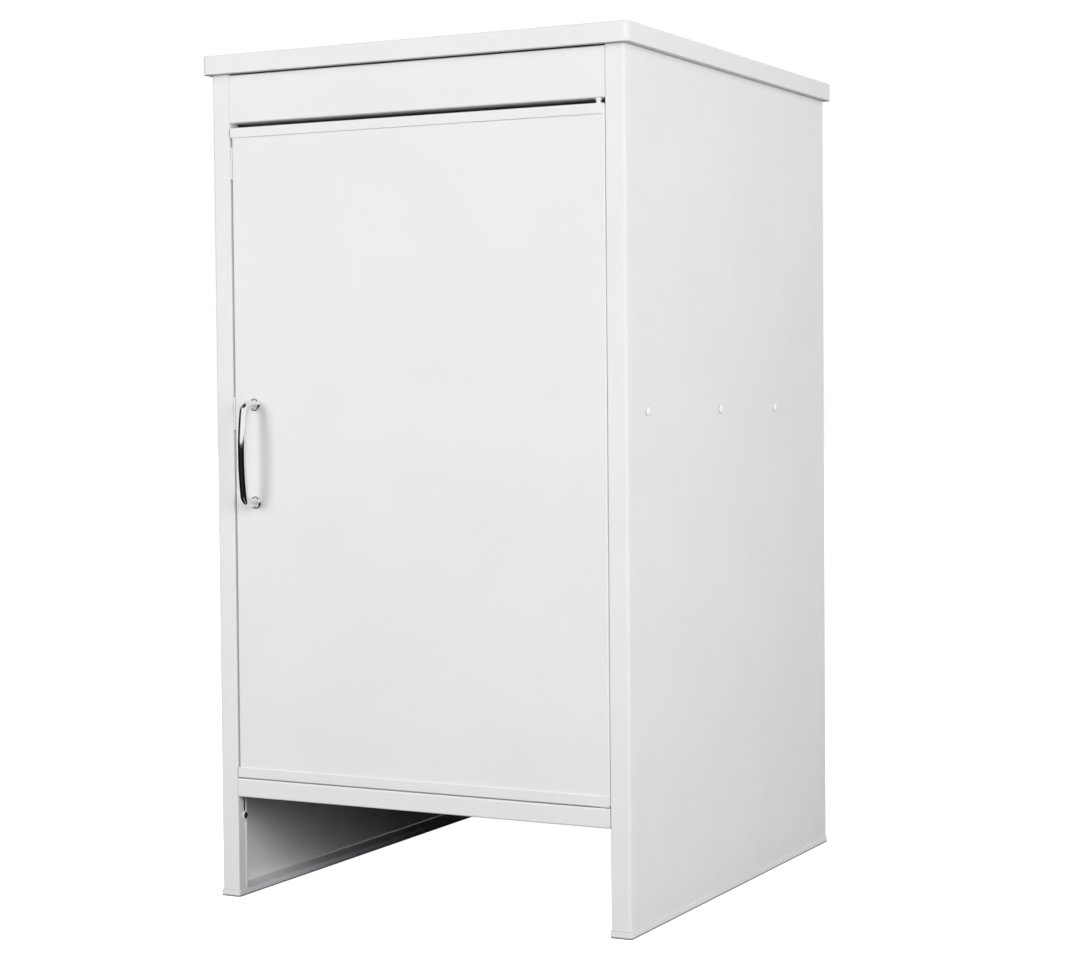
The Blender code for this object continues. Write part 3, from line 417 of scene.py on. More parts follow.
def plan(x0, x1, y0, y1, radius, steps=8, nx=14, ny=16):
    """A rounded rectangle with points along its straight sides too."""
    corners = (
        (x1 - radius, y1 - radius, 0, nx), (x0 + radius, y1 - radius, 90, ny),
        (x0 + radius, y0 + radius, 180, nx), (x1 - radius, y0 + radius, 270, ny),
    )
    arcs = []
    for cx, cy, first, count in corners:
        arc = []
        for k in range(steps + 1):
            a = math.radians(first + 90 * k / steps)
            arc.append(Vector((cx + radius * math.cos(a), cy + radius * math.sin(a))))
        arcs.append((arc, count))
    out = []
    for i, (arc, count) in enumerate(arcs):
        out += arc
        nxt = arcs[(i + 1) % 4][0][0]
        length = (nxt - arc[-1]).length
        support = min(0.001, length / 4)
        out.append(arc[-1].lerp(nxt, support / length))
        for k in range(1, count):
            out.append(arc[-1].lerp(nxt, k / count))
        out.append(arc[-1].lerp(nxt, 1 - support / length))
    return out


def loft(rings, wave=None, close=True):
    """Joins rings of equal count, each (outline, z, sinks), and caps the first and last."""
    bm = bmesh.new()
    made = []
    for ring in rings:
        outline, z, sinks = ring
        row = []
        for p in outline:
            dz = wave(p) if (wave and sinks) else 0.0
            row.append(bm.verts.new((p.x, p.y, z - dz)))
        made.append(row)
    n = len(made[0])
    for r, q in zip(made, made[1:]):
        for i in range(n):
            j = (i + 1) % n
            bm.faces.new((r[i], r[j], q[j], q[i]))
    if close:
        bm.faces.new(made[0])
        bm.faces.new(made[-1])
    return bm


def tray(x0, x1, y0, y1, z0, z1, corner, edge, lip, t=SHEET, steps=8, nx=14, ny=16, wave=None):
    """A sheet pressed into a lid: top, rounded edge, skirt, flange turned in underneath."""

    def ring(inset, z, sinks=False):
        r = max(corner - inset, 0.0006)
        return (
            plan(x0 + inset, x1 - inset, y0 + inset, y1 - inset, r, steps, nx, ny), z, sinks,
        )

    low = 0.0006                                    # outer radius of the lower fold
    half = min(x1 - x0, y1 - y0) / 2
    cap = [half * f for f in (0.96, 0.80, 0.62, 0.44, 0.27, 0.14, 0.06)]
    rings = [ring(c, z1, True) for c in cap]
    rings.append(ring(edge + 0.0010, z1))
    for k in range(7):
        a = math.radians(90 - 90 * k / 6)
        rings.append(ring(edge * (1 - math.cos(a)), z1 - edge + edge * math.sin(a)))
    rings.append(ring(0, z1 - edge - 0.0008))
    rings.append(ring(0, z0 + low + 0.0008))
    for k in range(5):
        a = math.radians(90 * k / 4)
        rings.append(ring(low * (1 - math.cos(a)), z0 + low - low * math.sin(a)))
    rings.append(ring(low + 0.0008, z0))
    rings.append(ring(lip - EDGE, z0))
    rings.append(ring(lip, z0 + EDGE))
    rings.append(ring(lip, z0 + t - EDGE))
    rings.append(ring(lip - EDGE, z0 + t))
    rings.append(ring(t + 0.0003, z0 + t))
    rings.append(ring(t, z0 + t + 0.0003))
    inner = max(edge - t, 0.0003)
    for k in range(4):
        a = math.radians(90 * k / 3)
        rings.append(
            ring(t + inner * (1 - math.cos(a)), z1 - t - inner + inner * math.sin(a))
        )
    rings += [ring(max(c, t + inner + 0.0005), z1 - t, True) for c in reversed(cap)]
    return loft(rings, wave)


def block(x0, x1, y0, y1, z0, z1):
    bm = bmesh.new()
    made = bmesh.ops.create_cube(bm, size=1.0)
    bmesh.ops.scale(bm, verts=made["verts"], vec=(x1 - x0, y1 - y0, z1 - z0))
    bmesh.ops.translate(
        bm, verts=made["verts"], vec=((x0 + x1) / 2, (y0 + y1) / 2, (z0 + z1) / 2)
    )
    return bm


def add_block(bm, *limits):
    other = bpy.data.meshes.new("part")
    b = block(*limits)
    b.to_mesh(other)
    b.free()
    bm.from_mesh(other)
    bpy.data.meshes.remove(other)
    return bm


def bevel_all(bm, width, segments=3, sharper_than=20):
    edges = [
        e for e in bm.edges
        if len(e.link_faces) == 2 and e.calc_face_angle(0) > math.radians(sharper_than)
    ]
    bmesh.ops.bevel(
        bm, geom=edges, offset=width, segments=segments, profile=0.5,
        affect="EDGES", clamp_overlap=True,
    )
    return bm


def facing(direction, point):
    turn = Vector((0, 0, 1)).rotation_difference(Vector(direction)).to_matrix().to_4x4()
    return Matrix.Translation(point) @ turn


def turned(profile, segments=40, matrix=None, bm=None):
    """A solid of revolution about local Z: (radius, height) from axis to axis."""
    bm = bm or bmesh.new()
    matrix = matrix or Matrix.Identity(4)
    rings = []
    for r, h in profile:
        if r < 1e-9:
            rings.append([bm.verts.new(matrix @ Vector((0, 0, h)))])
            continue
        rings.append(
            [
                bm.verts.new(
                    matrix @ Vector((
                        r * math.cos(2 * math.pi * (k + 0.5) / segments),
                        r * math.sin(2 * math.pi * (k + 0.5) / segments), h,
                    ))
                )
                for k in range(segments)
            ]
        )
    for r, q in zip(rings, rings[1:]):
        for k in range(segments):
            j = (k + 1) % segments
            loop = []
            for v in (r[k % len(r)], r[j % len(r)], q[j % len(q)], q[k % len(q)]):
                if v not in loop:
                    loop.append(v)
            bm.faces.new(loop)
    return bm


def sleeve(profile, segments, matrix):
    bm = bmesh.new()
    rings = []
    for r, h in profile:
        rings.append(
            [
                bm.verts.new(
                    matrix @ Vector((
                        r * math.cos(2 * math.pi * (k + 0.5) / segments),
                        r * math.sin(2 * math.pi * (k + 0.5) / segments), h,
                    ))
                )
                for k in range(segments)
            ]
        )
    for i in range(len(rings)):
        r, q = rings[i], rings[(i + 1) % len(rings)]
        for k in range(segments):
            j = (k + 1) % segments
            bm.faces.new((r[k], r[j], q[j], q[k]))
    return bm


def hole(direction, point, radius, length, segments=28, chamfer=0.0, bm=None):
    """A drill.  A chamfer opens both of its ends at half the length of 2 mm of sheet."""
    half = length / 2
    profile = [(0, -half), (radius, -half), (radius, half), (0, half)]
    if chamfer:
        c = chamfer
        profile = [
            (0, -half), (radius + half - 0.0005 + c, -half), (radius, -0.0005 + c),
            (radius, 0.0005 - c), (radius + half - 0.0005 + c, half), (0, half),
        ]
    return turned(profile, segments, facing(direction, point), bm)


def mirrored(bm):
    bmesh.ops.scale(bm, verts=bm.verts, vec=(-1, 1, 1))
    bmesh.ops.reverse_faces(bm, faces=bm.faces)
    return bm


def handed(bm, sign):
    return mirrored(bm) if sign < 0 else bm


def ripple(u, v, seed, depth):
    """Slow unevenness of a rolled and folded panel, from 0 to depth."""
    a = math.sin(11.3 * u + 1.7 * seed) * math.cos(7.9 * v - 0.6 * seed)
    b = math.sin(19.1 * v + 5.3 * u + 2.1 * seed)
    c = math.cos(29.0 * u - 17.0 * v + 3.3 * seed)
    return depth * (0.5 + 0.25 * a + 0.17 * b + 0.08 * c)


# ------------------------------------------------------------------ fasteners
def dome(head_r, head_h, seat=0.0):
    """Profile of a pan head from the crown down to its seat."""
    out = []
    for k in range(9):
        a = math.radians(90 * k / 8)
        out.append((head_r * math.sin(a) ** 0.85 if k else 0.0,
                    seat + head_h * (0.22 + 0.78 * math.cos(a) ** 0.9)
                    if k < 8 else seat + head_h * 0.22))
    out.append((head_r, seat + 0.0002))
    out.append((head_r - 0.0002, seat))
    return out


def screw_mesh(name, head_r, head_h, shank_r, shank_l, finish, recess=True, segments=40):
    """Pan-head screw with a cross recess and a rolled thread."""
    profile = dome(head_r, head_h)
    profile.append((shank_r + 0.0002, 0))
    profile.append((shank_r, -0.0002))
    z, pitch = -0.0018, 0.0006
    while z - pitch > -shank_l + shank_r:
        profile += [(shank_r, z), (shank_r - 0.00022, z - pitch / 2)]
        z -= pitch
    profile += [(shank_r, -shank_l + shank_r), (shank_r * 0.5, -shank_l + 0.3 * shank_r)]
    profile.append((0, -shank_l))
    me = mesh_from(name, turned(profile, segments))
    if recess:
        r, depth = head_r * 0.50, head_h * 0.60
        cutter = bmesh.new()
        for turn in (0, 90):
            spin = Matrix.Rotation(math.radians(turn), 4, "Z")
            w = head_r * 0.13
            top = [(-r, -w), (r, -w), (r, w), (-r, w)]
            hi = [cutter.verts.new(spin @ Vector((x, y, head_h + 0.001))) for x, y in top]
            lo = [
                cutter.verts.new(spin @ Vector((x * 0.45, y * 0.7, head_h - depth)))
                for x, y in top
            ]
            cutter.faces.new(hi)
            cutter.faces.new(lo)
            for i in range(4):
                j = (i + 1) % 4
                cutter.faces.new((hi[i], hi[j], lo[j], lo[i]))
            if turn == 0:
                first, cutter = cutter, bmesh.new()
        me = booled(me, [first, cutter])
        me.name = name
    return dress(me, finish, 30)


def set_in(node, me, direction, point, body, finish=None):
    return piece(
        node, me, finish, body, matrix=facing(direction, point), weighted=False
    )


# ------------------------------------------------------------------ worktop
def worktop_wave(p):
    u, v = (p.x + 0.23) / 0.46, (p.y + 0.007) / 0.512
    edge = min(u, 1 - u, v, 1 - v)
    fade = max(0.0, min(1.0, edge / 0.10))
    return ripple(p.x * 1.1, p.y * 1.1, 2.0, 0.00022) * fade * fade * (3 - 2 * fade)


worktop_me = mesh_from("worktop_detail", tray(
    -HALF - TOP_SIDE, HALF + TOP_SIDE, -TOP_FRONT, BODY_D + TOP_BACK,
    TOP_Z0, TOTAL_H, TOP_CORNER, 0.0013, TOP_RETURN, steps=10, nx=18, ny=20,
    wave=worktop_wave,
))
# the turned-in flange is narrower between the stiles, above the fascia
worktop_me = booled(worktop_me, [block(
    -IN_X + GAP, IN_X - GAP, 0.0006, 0.0070, TOP_Z0 - 0.0010, TOP_Z0 + SHEET + 0.0006
)])
piece("worktop", worktop_me, COAT, "carcass")

TOP_SCREW_Y, TOP_SCREW_X = (0.150, 0.350), 0.2120
HAT_Z0 = TOP_Z0 + SHEET + 0.0005
HAT_Z1 = TOTAL_H - SHEET - GAP - 0.0003
for label, y in (("front", TOP_SCREW_Y[0]), ("rear", TOP_SCREW_Y[1])):
    hat = soft_ends(folded(
        [
            (y - 0.034, HAT_Z1), (y - 0.020, HAT_Z1), (y - 0.016, HAT_Z0 + SHEET),
            (y + 0.016, HAT_Z0 + SHEET), (y + 0.020, HAT_Z1), (y + 0.034, HAT_Z1),
        ],
        0.0006, 1, 4,
    ))
    me = mesh_from("hat", sheet(hat, stations(-HALF - 0.0010, HALF + 0.0010, 0.05), "x"))
    cuts = [hole((0, 0, 1), (x, y, HAT_Z0), 0.0024, 0.006) for x in (-TOP_SCREW_X, TOP_SCREW_X)]
    piece("worktop_stiffener_" + label, booled(me, cuts), COAT, "carcass")


# ------------------------------------------------------------------ side panels
def near(centre, reach=(0.002, 0.0034, 0.0046, 0.0058, 0.0072, 0.0090, 0.0115)):
    return [centre] + [centre + s * r for r in reach for s in (-1, 1)]


DIMPLES = ((SHELF_SCREWS[0], 0.00022, 0.0072), (SHELF_SCREWS[1], 0.00040, 0.0080),
           (SHELF_SCREWS[2], 0.00022, 0.0072))


def side_wave(p, s, fade):
    if abs(p.x - HALF) > 1e-5 or not 0.004 < p.y < BODY_D - 0.004:
        return 0.0
    w = ripple(p.y, s, 5.0, 0.00030) * fade
    for y, depth, reach in DIMPLES:
        r = math.hypot(p.y - y, s - SHELF_SCREW_Z) / reach
        if r < 1:
            w += depth * (1 - r * r) ** 2
    return w


def side_panel(sign):
    # distances along the wall from its rear fold, for the dimples round the shelf screws
    wall = [BODY_D - 0.0016 - q for y in SHELF_SCREWS for q in near(y)]
    pairs = folded(
        [
            (HALF - REAR_FLANGE, BODY_D), (HALF, BODY_D), (HALF, 0), (IN_X, 0),
            (IN_X, RETURN_D - HEM_D - 0.0003),
        ],
        (0.0006, 0.0020, 0.0002), 1, 8, extra={1: wall},
    )
    inner = IN_X + SHEET
    hem_x = IN_X - HEM_PROUD
    y0 = RETURN_D - HEM_D
    for x, y in (
        (IN_X - 0.00012, y0 - 0.00015), (hem_x + 0.00012, y0 - 0.00002), (hem_x, y0 + 0.00015),
        (hem_x, RETURN_D - 0.0009), (hem_x, RETURN_D),
    ):
        pairs.append([Vector((x, y)), Vector((inner, y)), 0.0])
    pairs = soft_ends(pairs, EDGE, 0.0007)
    rows = stations(FOOT_H + GAP, PANEL_TOP, 0.022, near(SHELF_SCREW_Z))
    me = mesh_from("side", sheet(pairs, rows, "z", side_wave))
    flange = block(
        HALF - TOP_FLANGE, HALF - 0.0004, 0.0200, BODY_D - 0.0200,
        WALL_TOP - SHEET - 0.0001, WALL_TOP - 0.0001,
    )
    bevel_all(flange, 0.00015, 2)
    me = booled(me, [block(
        HALF - 0.0017, HALF + 0.0020, 0.0011, BODY_D + 0.0020,
        WALL_TOP, PANEL_TOP + 0.0020,
    )])
    me = booled(me, [flange], "UNION")
    cuts = [block(IN_X - 0.0030, IN_X - 0.0001, 0.0110, 0.0160, KEY_Z - 0.0080, LEG_H + 0.0100)]
    for y in SHELF_SCREWS:
        cuts.append(hole((1, 0, 0), (HALF, y, SHELF_SCREW_Z), 0.0024, 0.008))
    for _, z in BACK_RIVETS:
        cuts.append(hole((0, 1, 0), (RIVET_X, BODY_D, z), 0.0019, 0.006))
    for y in TOP_SCREW_Y:
        cuts.append(hole((0, 0, 1), (TOP_SCREW_X, y, PANEL_TOP), 0.0024, 0.006))
    # keyhole: a round end with a slot above it, both with softened rims
    cuts.append(hole((1, 0, 0), (IN_X + 0.0005, KEY_Y, KEY_Z), 0.0030, 0.004, 36, 0.0002))
    slot = block(
        IN_X - 0.004, IN_X + 0.004, KEY_Y - 0.0011, KEY_Y + 0.0011, KEY_Z, KEY_Z + 0.0190
    )
    cuts.append(slot)
    me = booled(me, cuts)
    if sign < 0:
        me.transform(Matrix.Scale(-1, 4, (1, 0, 0)))
        me.flip_normals()
    return me


for name, sign in SIDES:
    panel = dress(side_panel(sign), COAT)
    # painted shade: the faces inside the keyhole's narrow slot are coloured near-black where shade falls in it
    panel.materials.append(SHADE_DARK_METAL)
    for face in panel.polygons:
        x, y, z = face.center
        if (
            IN_X + 0.0001 < abs(x) < IN_X + SHEET - 0.0001
            and abs(y - KEY_Y) < 0.0032 and KEY_Z - 0.0032 < z < KEY_Z + 0.0195
        ):
            face.material_index = 1
    piece("side_panel_" + name, panel, None, "carcass")


# ------------------------------------------------------------------ foot strips
def foot_strip():
    x0, x1 = IN_X - FOOT_PROUD, HALF + FOOT_PROUD
    y0, y1 = -FOOT_PROUD, BODY_D + FOOT_PROUD

    def ring(inset, z):
        outline = plan(
            x0 + inset, x1 - inset, y0 + inset, y1 - inset, 0.0030 - inset, 8, 2, 24
        )
        return outline, z, False

    rings = [ring(0.0020, 0), ring(0.0010, 0)]
    for k in range(6):
        a = math.radians(18 * k)
        rings.append(ring(0.0003 * (1 - math.sin(a)), 0.0003 * (1 - math.cos(a))))
    rings.append(ring(0, 0.0032))
    rings.append(ring(0.00004, 0.0033))             # parting line of the mould
    rings.append(ring(0, 0.0034))
    for k in range(5):
        a = math.radians(90 * k / 4)
        rings.append(ring(0.0005 * (1 - math.cos(a)), FOOT_H - 0.0005 + 0.0005 * math.sin(a)))
    rings.append(ring(0.0010, FOOT_H))
    return loft(rings)


for name, sign in SIDES:
    piece(
        "foot_strip_" + name, mesh_from("foot", handed(foot_strip(), sign)), STRIP,
        "carcass",
    )


# ------------------------------------------------------------------ pads in the door's gap
for label, (z0, z1) in {"lower": (0.4631, 0.4955), "upper": (0.7085, 0.7402)}.items():
    pad = bevel_all(block(-IN_X + GAP, DOOR_X0 - GAP, 0.0006, 0.0100, z0, z1), 0.0005, 4)
    piece("gap_pad_" + label, mesh_from("pad", pad), NYLON, "carcass")


# ------------------------------------------------------------------ fascia
def fascia_wave(p, s, fade):
    return ripple(s, p.y, 8.0, 0.00012) * fade if abs(p.x) < 1e-6 else 0.0


fascia = mesh_from("fascia", sheet(
    soft_ends(folded(
        [
            (FLANGE_D, FASCIA_Z1 - 0.012), (FLANGE_D, FASCIA_Z1), (0, FASCIA_Z1),
            (0, FASCIA_Z0), (FASCIA_DEEP, FASCIA_Z0), (FASCIA_DEEP, FASCIA_Z0 + 0.010),
        ],
        0.0006, -1, 6,
    )),
    stations(-FASCIA_HALF, FASCIA_HALF), "x", fascia_wave,
))
FASCIA_SCREWS = (("left", -0.1940), ("right", 0.1940))
UPPER_Z, LOWER_Y = FASCIA_Z1 - 0.0075, 0.0222
cuts = [hole((0, 1, 0), (x, FLANGE_D, UPPER_Z), 0.0019, 0.006) for _, x in FASCIA_SCREWS]
cuts += [hole((0, 0, 1), (x, LOWER_Y, FASCIA_Z0), 0.0019, 0.006) for _, x in FASCIA_SCREWS]
cuts.append(hole((0, 0, 1), (HINGE_X, HINGE_Y, FASCIA_Z0), 0.0028, 0.004, 40))
fascia = booled(fascia, cuts)
# notched ends, clear of the hems on the side panels
fascia = booled(fascia, [
    handed(
        block(0.2036, 0.2060, 0.0112, 0.0310, FASCIA_Z0 - 0.002, FASCIA_Z1 + 0.002), sign
    )
    for _, sign in SIDES
])
piece("fascia_panel", fascia, COAT, "carcass")

BRACKET_Y, TAB_Z1 = FLANGE_D + GAP, FASCIA_Z0 + 0.0024
for name, sign in SIDES:
    bm = sheet(
        soft_ends(folded(
            [(0.1840, BRACKET_Y), (WALL_IN - GAP, BRACKET_Y), (WALL_IN - GAP, 0.0400)],
            0.0006, -1, 5,
        )),
        stations(FASCIA_Z0 + 0.0014, FASCIA_Z1 - 0.0034), "z",
    )
    # flat tab at its lower end, on which the fascia's lower fold is screwed
    tab = handed(block(
        0.1841, WALL_IN - GAP - 0.0001, BRACKET_Y + 0.0001, FASCIA_DEEP - SHEET - 0.0006,
        FASCIA_Z0 + 0.0015, TAB_Z1,
    ), sign)
    cuts = [
        handed(hole((0, 1, 0), (0.1940, BRACKET_Y, UPPER_Z), 0.0019, 0.006), sign),
        handed(hole((0, 0, 1), (0.1940, LOWER_Y, TAB_Z1), 0.0019, 0.006), sign),
    ]
    me = booled(mesh_from("bracket", handed(bm, sign)), [tab], "UNION")
    piece("fascia_bracket_" + name, booled(me, cuts), COAT, "carcass")

small_screw = screw_mesh("small_screw_detail", 0.0032, 0.0018, 0.0015, 0.0060, ZINC)
short_screw = screw_mesh("short_screw_detail", 0.0032, 0.0018, 0.0015, 0.0026, ZINC)
for name, x in FASCIA_SCREWS:
    set_in(
        "fascia_screw_%s_upper" % name, small_screw, (0, 1, 0),
        (x, BRACKET_Y + SHEET + GAP, UPPER_Z), "carcass",
    )
    set_in(
        "fascia_screw_%s_lower" % name, short_screw, (0, 0, 1),
        (x, LOWER_Y, TAB_Z1 + GAP), "carcass",
    )


# ------------------------------------------------------------------ floor panel
def floor_wave(p, s, fade):
    return ripple(s, p.x, 3.0, 0.00025) * fade if abs(p.y - FLOOR_Z) < 1e-6 else 0.0


floor_me = mesh_from("floor", sheet(
    soft_ends(folded(
        [
            (0.0110, LEG_H), (0, LEG_H), (0, FLOOR_Z), (0.4970, FLOOR_Z),
            (0.4970, LEG_H + 0.0003),
        ],
        0.0005, 1, 6,
    )),
    stations(-FIT_IN, FIT_IN), "x", floor_wave,
))
front, hems, flanges = bmesh.new(), bmesh.new(), []
for s in (-1, 1):
    x0, x1 = sorted((s * (IN_X - 0.0001), s * 0.230))
    add_block(front, x0, x1, -0.010, RETURN_D - HEM_D - 0.0006, 0.090, 0.125)
    x0, x1 = sorted((s * (IN_X - HEM_PROUD - 0.0005), s * 0.230))
    add_block(hems, x0, x1, RETURN_D - HEM_D - 0.0010, RETURN_D + 0.0005, 0.091, 0.126)
    x0, x1 = sorted((s * (FIT_IN - SHEET), s * (FIT_IN - 0.0001)))
    flanges.append(block(x0, x1, 0.0400, 0.4900, LEG_H + 0.0004, FLOOR_Z - 0.0003))
floor_me = booled(floor_me, [front])
floor_me = booled(floor_me, [hems])
floor_me = booled(floor_me, flanges, "UNION")
cuts = [hole((0, 0, 1), (HINGE_X, HINGE_Y, FLOOR_Z), 0.0028, 0.004, 40)]
cuts += [hole((0, 0, 1), (s * 0.1960, 0.0300, FLOOR_Z), 0.0019, 0.006) for s in (-1, 1)]
floor_me = dress(booled(floor_me, cuts), COAT)
# painted shade: its hidden underside and the inner faces of its folds get a dark grey coat that stands in for the
# shade under the cabinet
floor_me.materials.append(UNDERSIDE_SHADE_COAT)
for face in floor_me.polygons:
    if face.center.z < FLOOR_Z - SHEET + 0.0002 and face.center.y > 0.0008 and face.normal.z < 0.5:
        face.material_index = 1
piece("floor_panel", floor_me, None, "carcass")

BASE_X = IN_X + SHEET + GAP
BASE_TOP = FLOOR_Z - SHEET - GAP
key_screw = screw_mesh("key_screw_detail", 0.0042, 0.0020, 0.0015, 0.0060, SCREW_HEAD_WHITE_LIT_COAT)
# its head takes the whiter screw coat; a near-black disc on its crown round the cross recess is painted shade
key_screw.materials.append(SHADE_DARK_METAL)
for face in key_screw.polygons:
    if math.hypot(face.center.x, face.center.y) < 0.0030 and face.center.z > 0.0004:
        face.material_index = 1
for name, sign in SIDES:
    bm = sheet(
        soft_ends(folded(
            [(0.1880, BASE_TOP), (BASE_X + SHEET, BASE_TOP), (BASE_X + SHEET, 0.1010)],
            0.0005, 1, 5,
        )),
        stations(0.0180, 0.0400), "y",
    )
    me = mesh_from("base", bm)
    me = booled(me, [block(
        BASE_X + 0.0001, BASE_X + SHEET - 0.0001, 0.0060, 0.0200, 0.1016, 0.1120)], "UNION")
    me = booled(me, [block(
        BASE_X + 0.0002, BASE_X + SHEET - 0.0002, 0.0050, 0.0139, 0.0702, 0.1100)], "UNION")
    me = booled(me, [
        hole((0, 0, 1), (0.1960, 0.0300, BASE_TOP), 0.0019, 0.006),
        hole((1, 0, 0), (BASE_X, KEY_Y, KEY_Z), 0.0018, 0.006),
    ])
    if sign < 0:
        me.transform(Matrix.Scale(-1, 4, (1, 0, 0)))
        me.flip_normals()
    piece("base_bracket_" + name, me, ZINC, "carcass")
    set_in(
        "keyhole_screw_" + name, key_screw, (-sign, 0, 0),
        (sign * (IN_X - GAP), KEY_Y, KEY_Z), "carcass",
    )
    set_in(
        "floor_screw_" + name, small_screw, (0, 0, -1),
        (sign * 0.1960, 0.0300, BASE_TOP - SHEET - GAP), "carcass",
    )


# ------------------------------------------------------------------ back panel and rear rail
BACK_HALF = FIT_IN - 0.0020


def back_wave(p, s, fade):
    return ripple(p.x, s, 11.0, 0.00030) * fade


back_pairs = soft_ends(folded(
    [(BACK_HALF, BODY_D - SHEET - GAP), (-BACK_HALF, BODY_D - SHEET - GAP)], 0.001, -1
))
back_me = mesh_from("back", sheet(
    back_pairs, stations(FOOT_H + 0.0010, PANEL_TOP - SHEET - 0.0010), "z", back_wave
))
cuts = [
    hole((0, 1, 0), (s * RIVET_X, BODY_D - 0.002, z), 0.0019, 0.006)
    for s in (-1, 1) for _, z in BACK_RIVETS
]
piece("back_panel", booled(back_me, cuts), COAT, "carcass")

rivet = dress(mesh_from("rivet_detail", turned(
    [
        (0, 0.00035), (0.0007, 0.00035), (0.0008, 0.00098), (0.0012, 0.00099),
        (0.0018, 0.00090), (0.0023, 0.00068), (0.0027, 0.00045), (0.0030, 0.00020),
        (0.0030, 0.00006), (0.0029, 0), (0.0016, 0), (0.0016, -0.0032), (0.0022, -0.0034),
        (0.0024, -0.0040), (0.0022, -0.0048), (0.0014, -0.0051), (0, -0.0052),
    ],
    36,
)), ZINC)
for name, s in SIDES:
    for height, z in BACK_RIVETS:
        set_in(
            "back_rivet_%s_%s" % (name, height), rivet, (0, 1, 0),
            (s * RIVET_X, BODY_D + GAP, z), "carcass",
        )

piece(
    "rear_top_rail",
    mesh_from("rail", sheet(
        soft_ends(folded(
            [(0.4620, 0.8083), (0.4960, 0.8083), (0.4960, 0.7850)], 0.0006, 1, 6
        )),
        stations(-FIT_IN, FIT_IN), "x",
    )),
    COAT, "carcass",
)


# ------------------------------------------------------------------ shelf and catch
def shelf_wave(p):
    u, v = (p.x + FIT_IN) / (2 * FIT_IN), (p.y - SHELF_Y0) / (SHELF_Y1 - SHELF_Y0)
    fade = max(0.0, min(1.0, min(u, 1 - u, v, 1 - v) / 0.14))
    return ripple(p.x, p.y, 7.0, 0.00025) * fade * fade * (3 - 2 * fade)


shelf_me = mesh_from("shelf", tray(
    -FIT_IN, FIT_IN, SHELF_Y0, SHELF_Y1, SHELF_TOP - SHELF_H, SHELF_TOP,
    0.0012, 0.0012, 0.0080, steps=4, nx=12, ny=10, wave=shelf_wave,
))
cuts = [
    hole((1, 0, 0), (s * FIT_IN, y, SHELF_SCREW_Z), 0.0024, 0.008)
    for s in (-1, 1) for y in SHELF_SCREWS
]
CATCH_X = HANDLE_X
CATCH_SCREWS = (CATCH_X - 0.0110, CATCH_X + 0.0110)
cuts += [hole((0, 0, 1), (x, 0.0250, SHELF_TOP), 0.0017, 0.006) for x in CATCH_SCREWS]
piece("shelf", booled(shelf_me, cuts), COAT, "carcass")

shelf_screw = screw_mesh(
    "shelf_screw_detail", 0.0044, 0.0018, 0.0020, 0.0100, SCREW_HEAD_WHITE_LIT_COAT, recess=False
)
top_screw = screw_mesh("top_screw_detail", 0.0038, 0.0020, 0.0020, 0.0090, ZINC)
for name, s in SIDES:
    for where, y in zip(("front", "middle", "rear"), SHELF_SCREWS):
        set_in(
            "shelf_screw_%s_%s" % (name, where), shelf_screw, (s, 0, 0),
            (s * (HALF + GAP), y, SHELF_SCREW_Z), "carcass",
        )
    for where, y in zip(("front", "rear"), TOP_SCREW_Y):
        set_in(
            "worktop_screw_%s_%s" % (name, where), top_screw, (0, 0, -1),
            (s * TOP_SCREW_X, y, WALL_TOP - SHEET - GAP), "carcass",
        )

CATCH_Z0, CATCH_Y0 = SHELF_TOP + GAP, 0.0160
housing = mesh_from("housing", bevel_all(
    block(CATCH_X - 0.0180, CATCH_X + 0.0180, CATCH_Y0, 0.0310, CATCH_Z0, CATCH_Z0 + 0.0190),
    0.0012, 4,
))
cuts = [bevel_all(
    block(
        CATCH_X - 0.0125, CATCH_X + 0.0125, 0.0100, 0.0190,
        CATCH_Z0 + 0.0070, CATCH_Z0 + 0.0165,
    ), 0.0005, 3,
)]
cuts += [hole((0, 0, 1), (x, 0.0250, CATCH_Z0), 0.0017, 0.0100) for x in CATCH_SCREWS]
piece("catch_housing", booled(housing, cuts), CATCH, "carcass")
STRIKE_BACK = DOOR_D + GAP + 0.0012
magnet = bevel_all(
    block(
        CATCH_X - 0.0121, CATCH_X + 0.0121, STRIKE_BACK + GAP, 0.0186,
        CATCH_Z0 + 0.0074, CATCH_Z0 + 0.0161,
    ), 0.0004, 2,
)
# two steel pole plates show as slots along the ferrite block
grooves = [
    block(
        CATCH_X - 0.013, CATCH_X + 0.013, STRIKE_BACK, STRIKE_BACK + GAP + 0.0004,
        z - 0.00015, z + 0.00015,
    )
    for z in (CATCH_Z0 + 0.0092, CATCH_Z0 + 0.0143)
]
piece("catch_magnet", booled(mesh_from("magnet", magnet), grooves), FERRITE, "carcass")
catch_screw = screw_mesh("catch_screw_detail", 0.0028, 0.0016, 0.0013, 0.0050, ZINC)
for name, x in zip(("left", "right"), CATCH_SCREWS):
    set_in(
        "catch_screw_" + name, catch_screw, (0, 0, -1),
        (x, 0.0250, SHELF_TOP - SHEET - GAP), "carcass",
    )

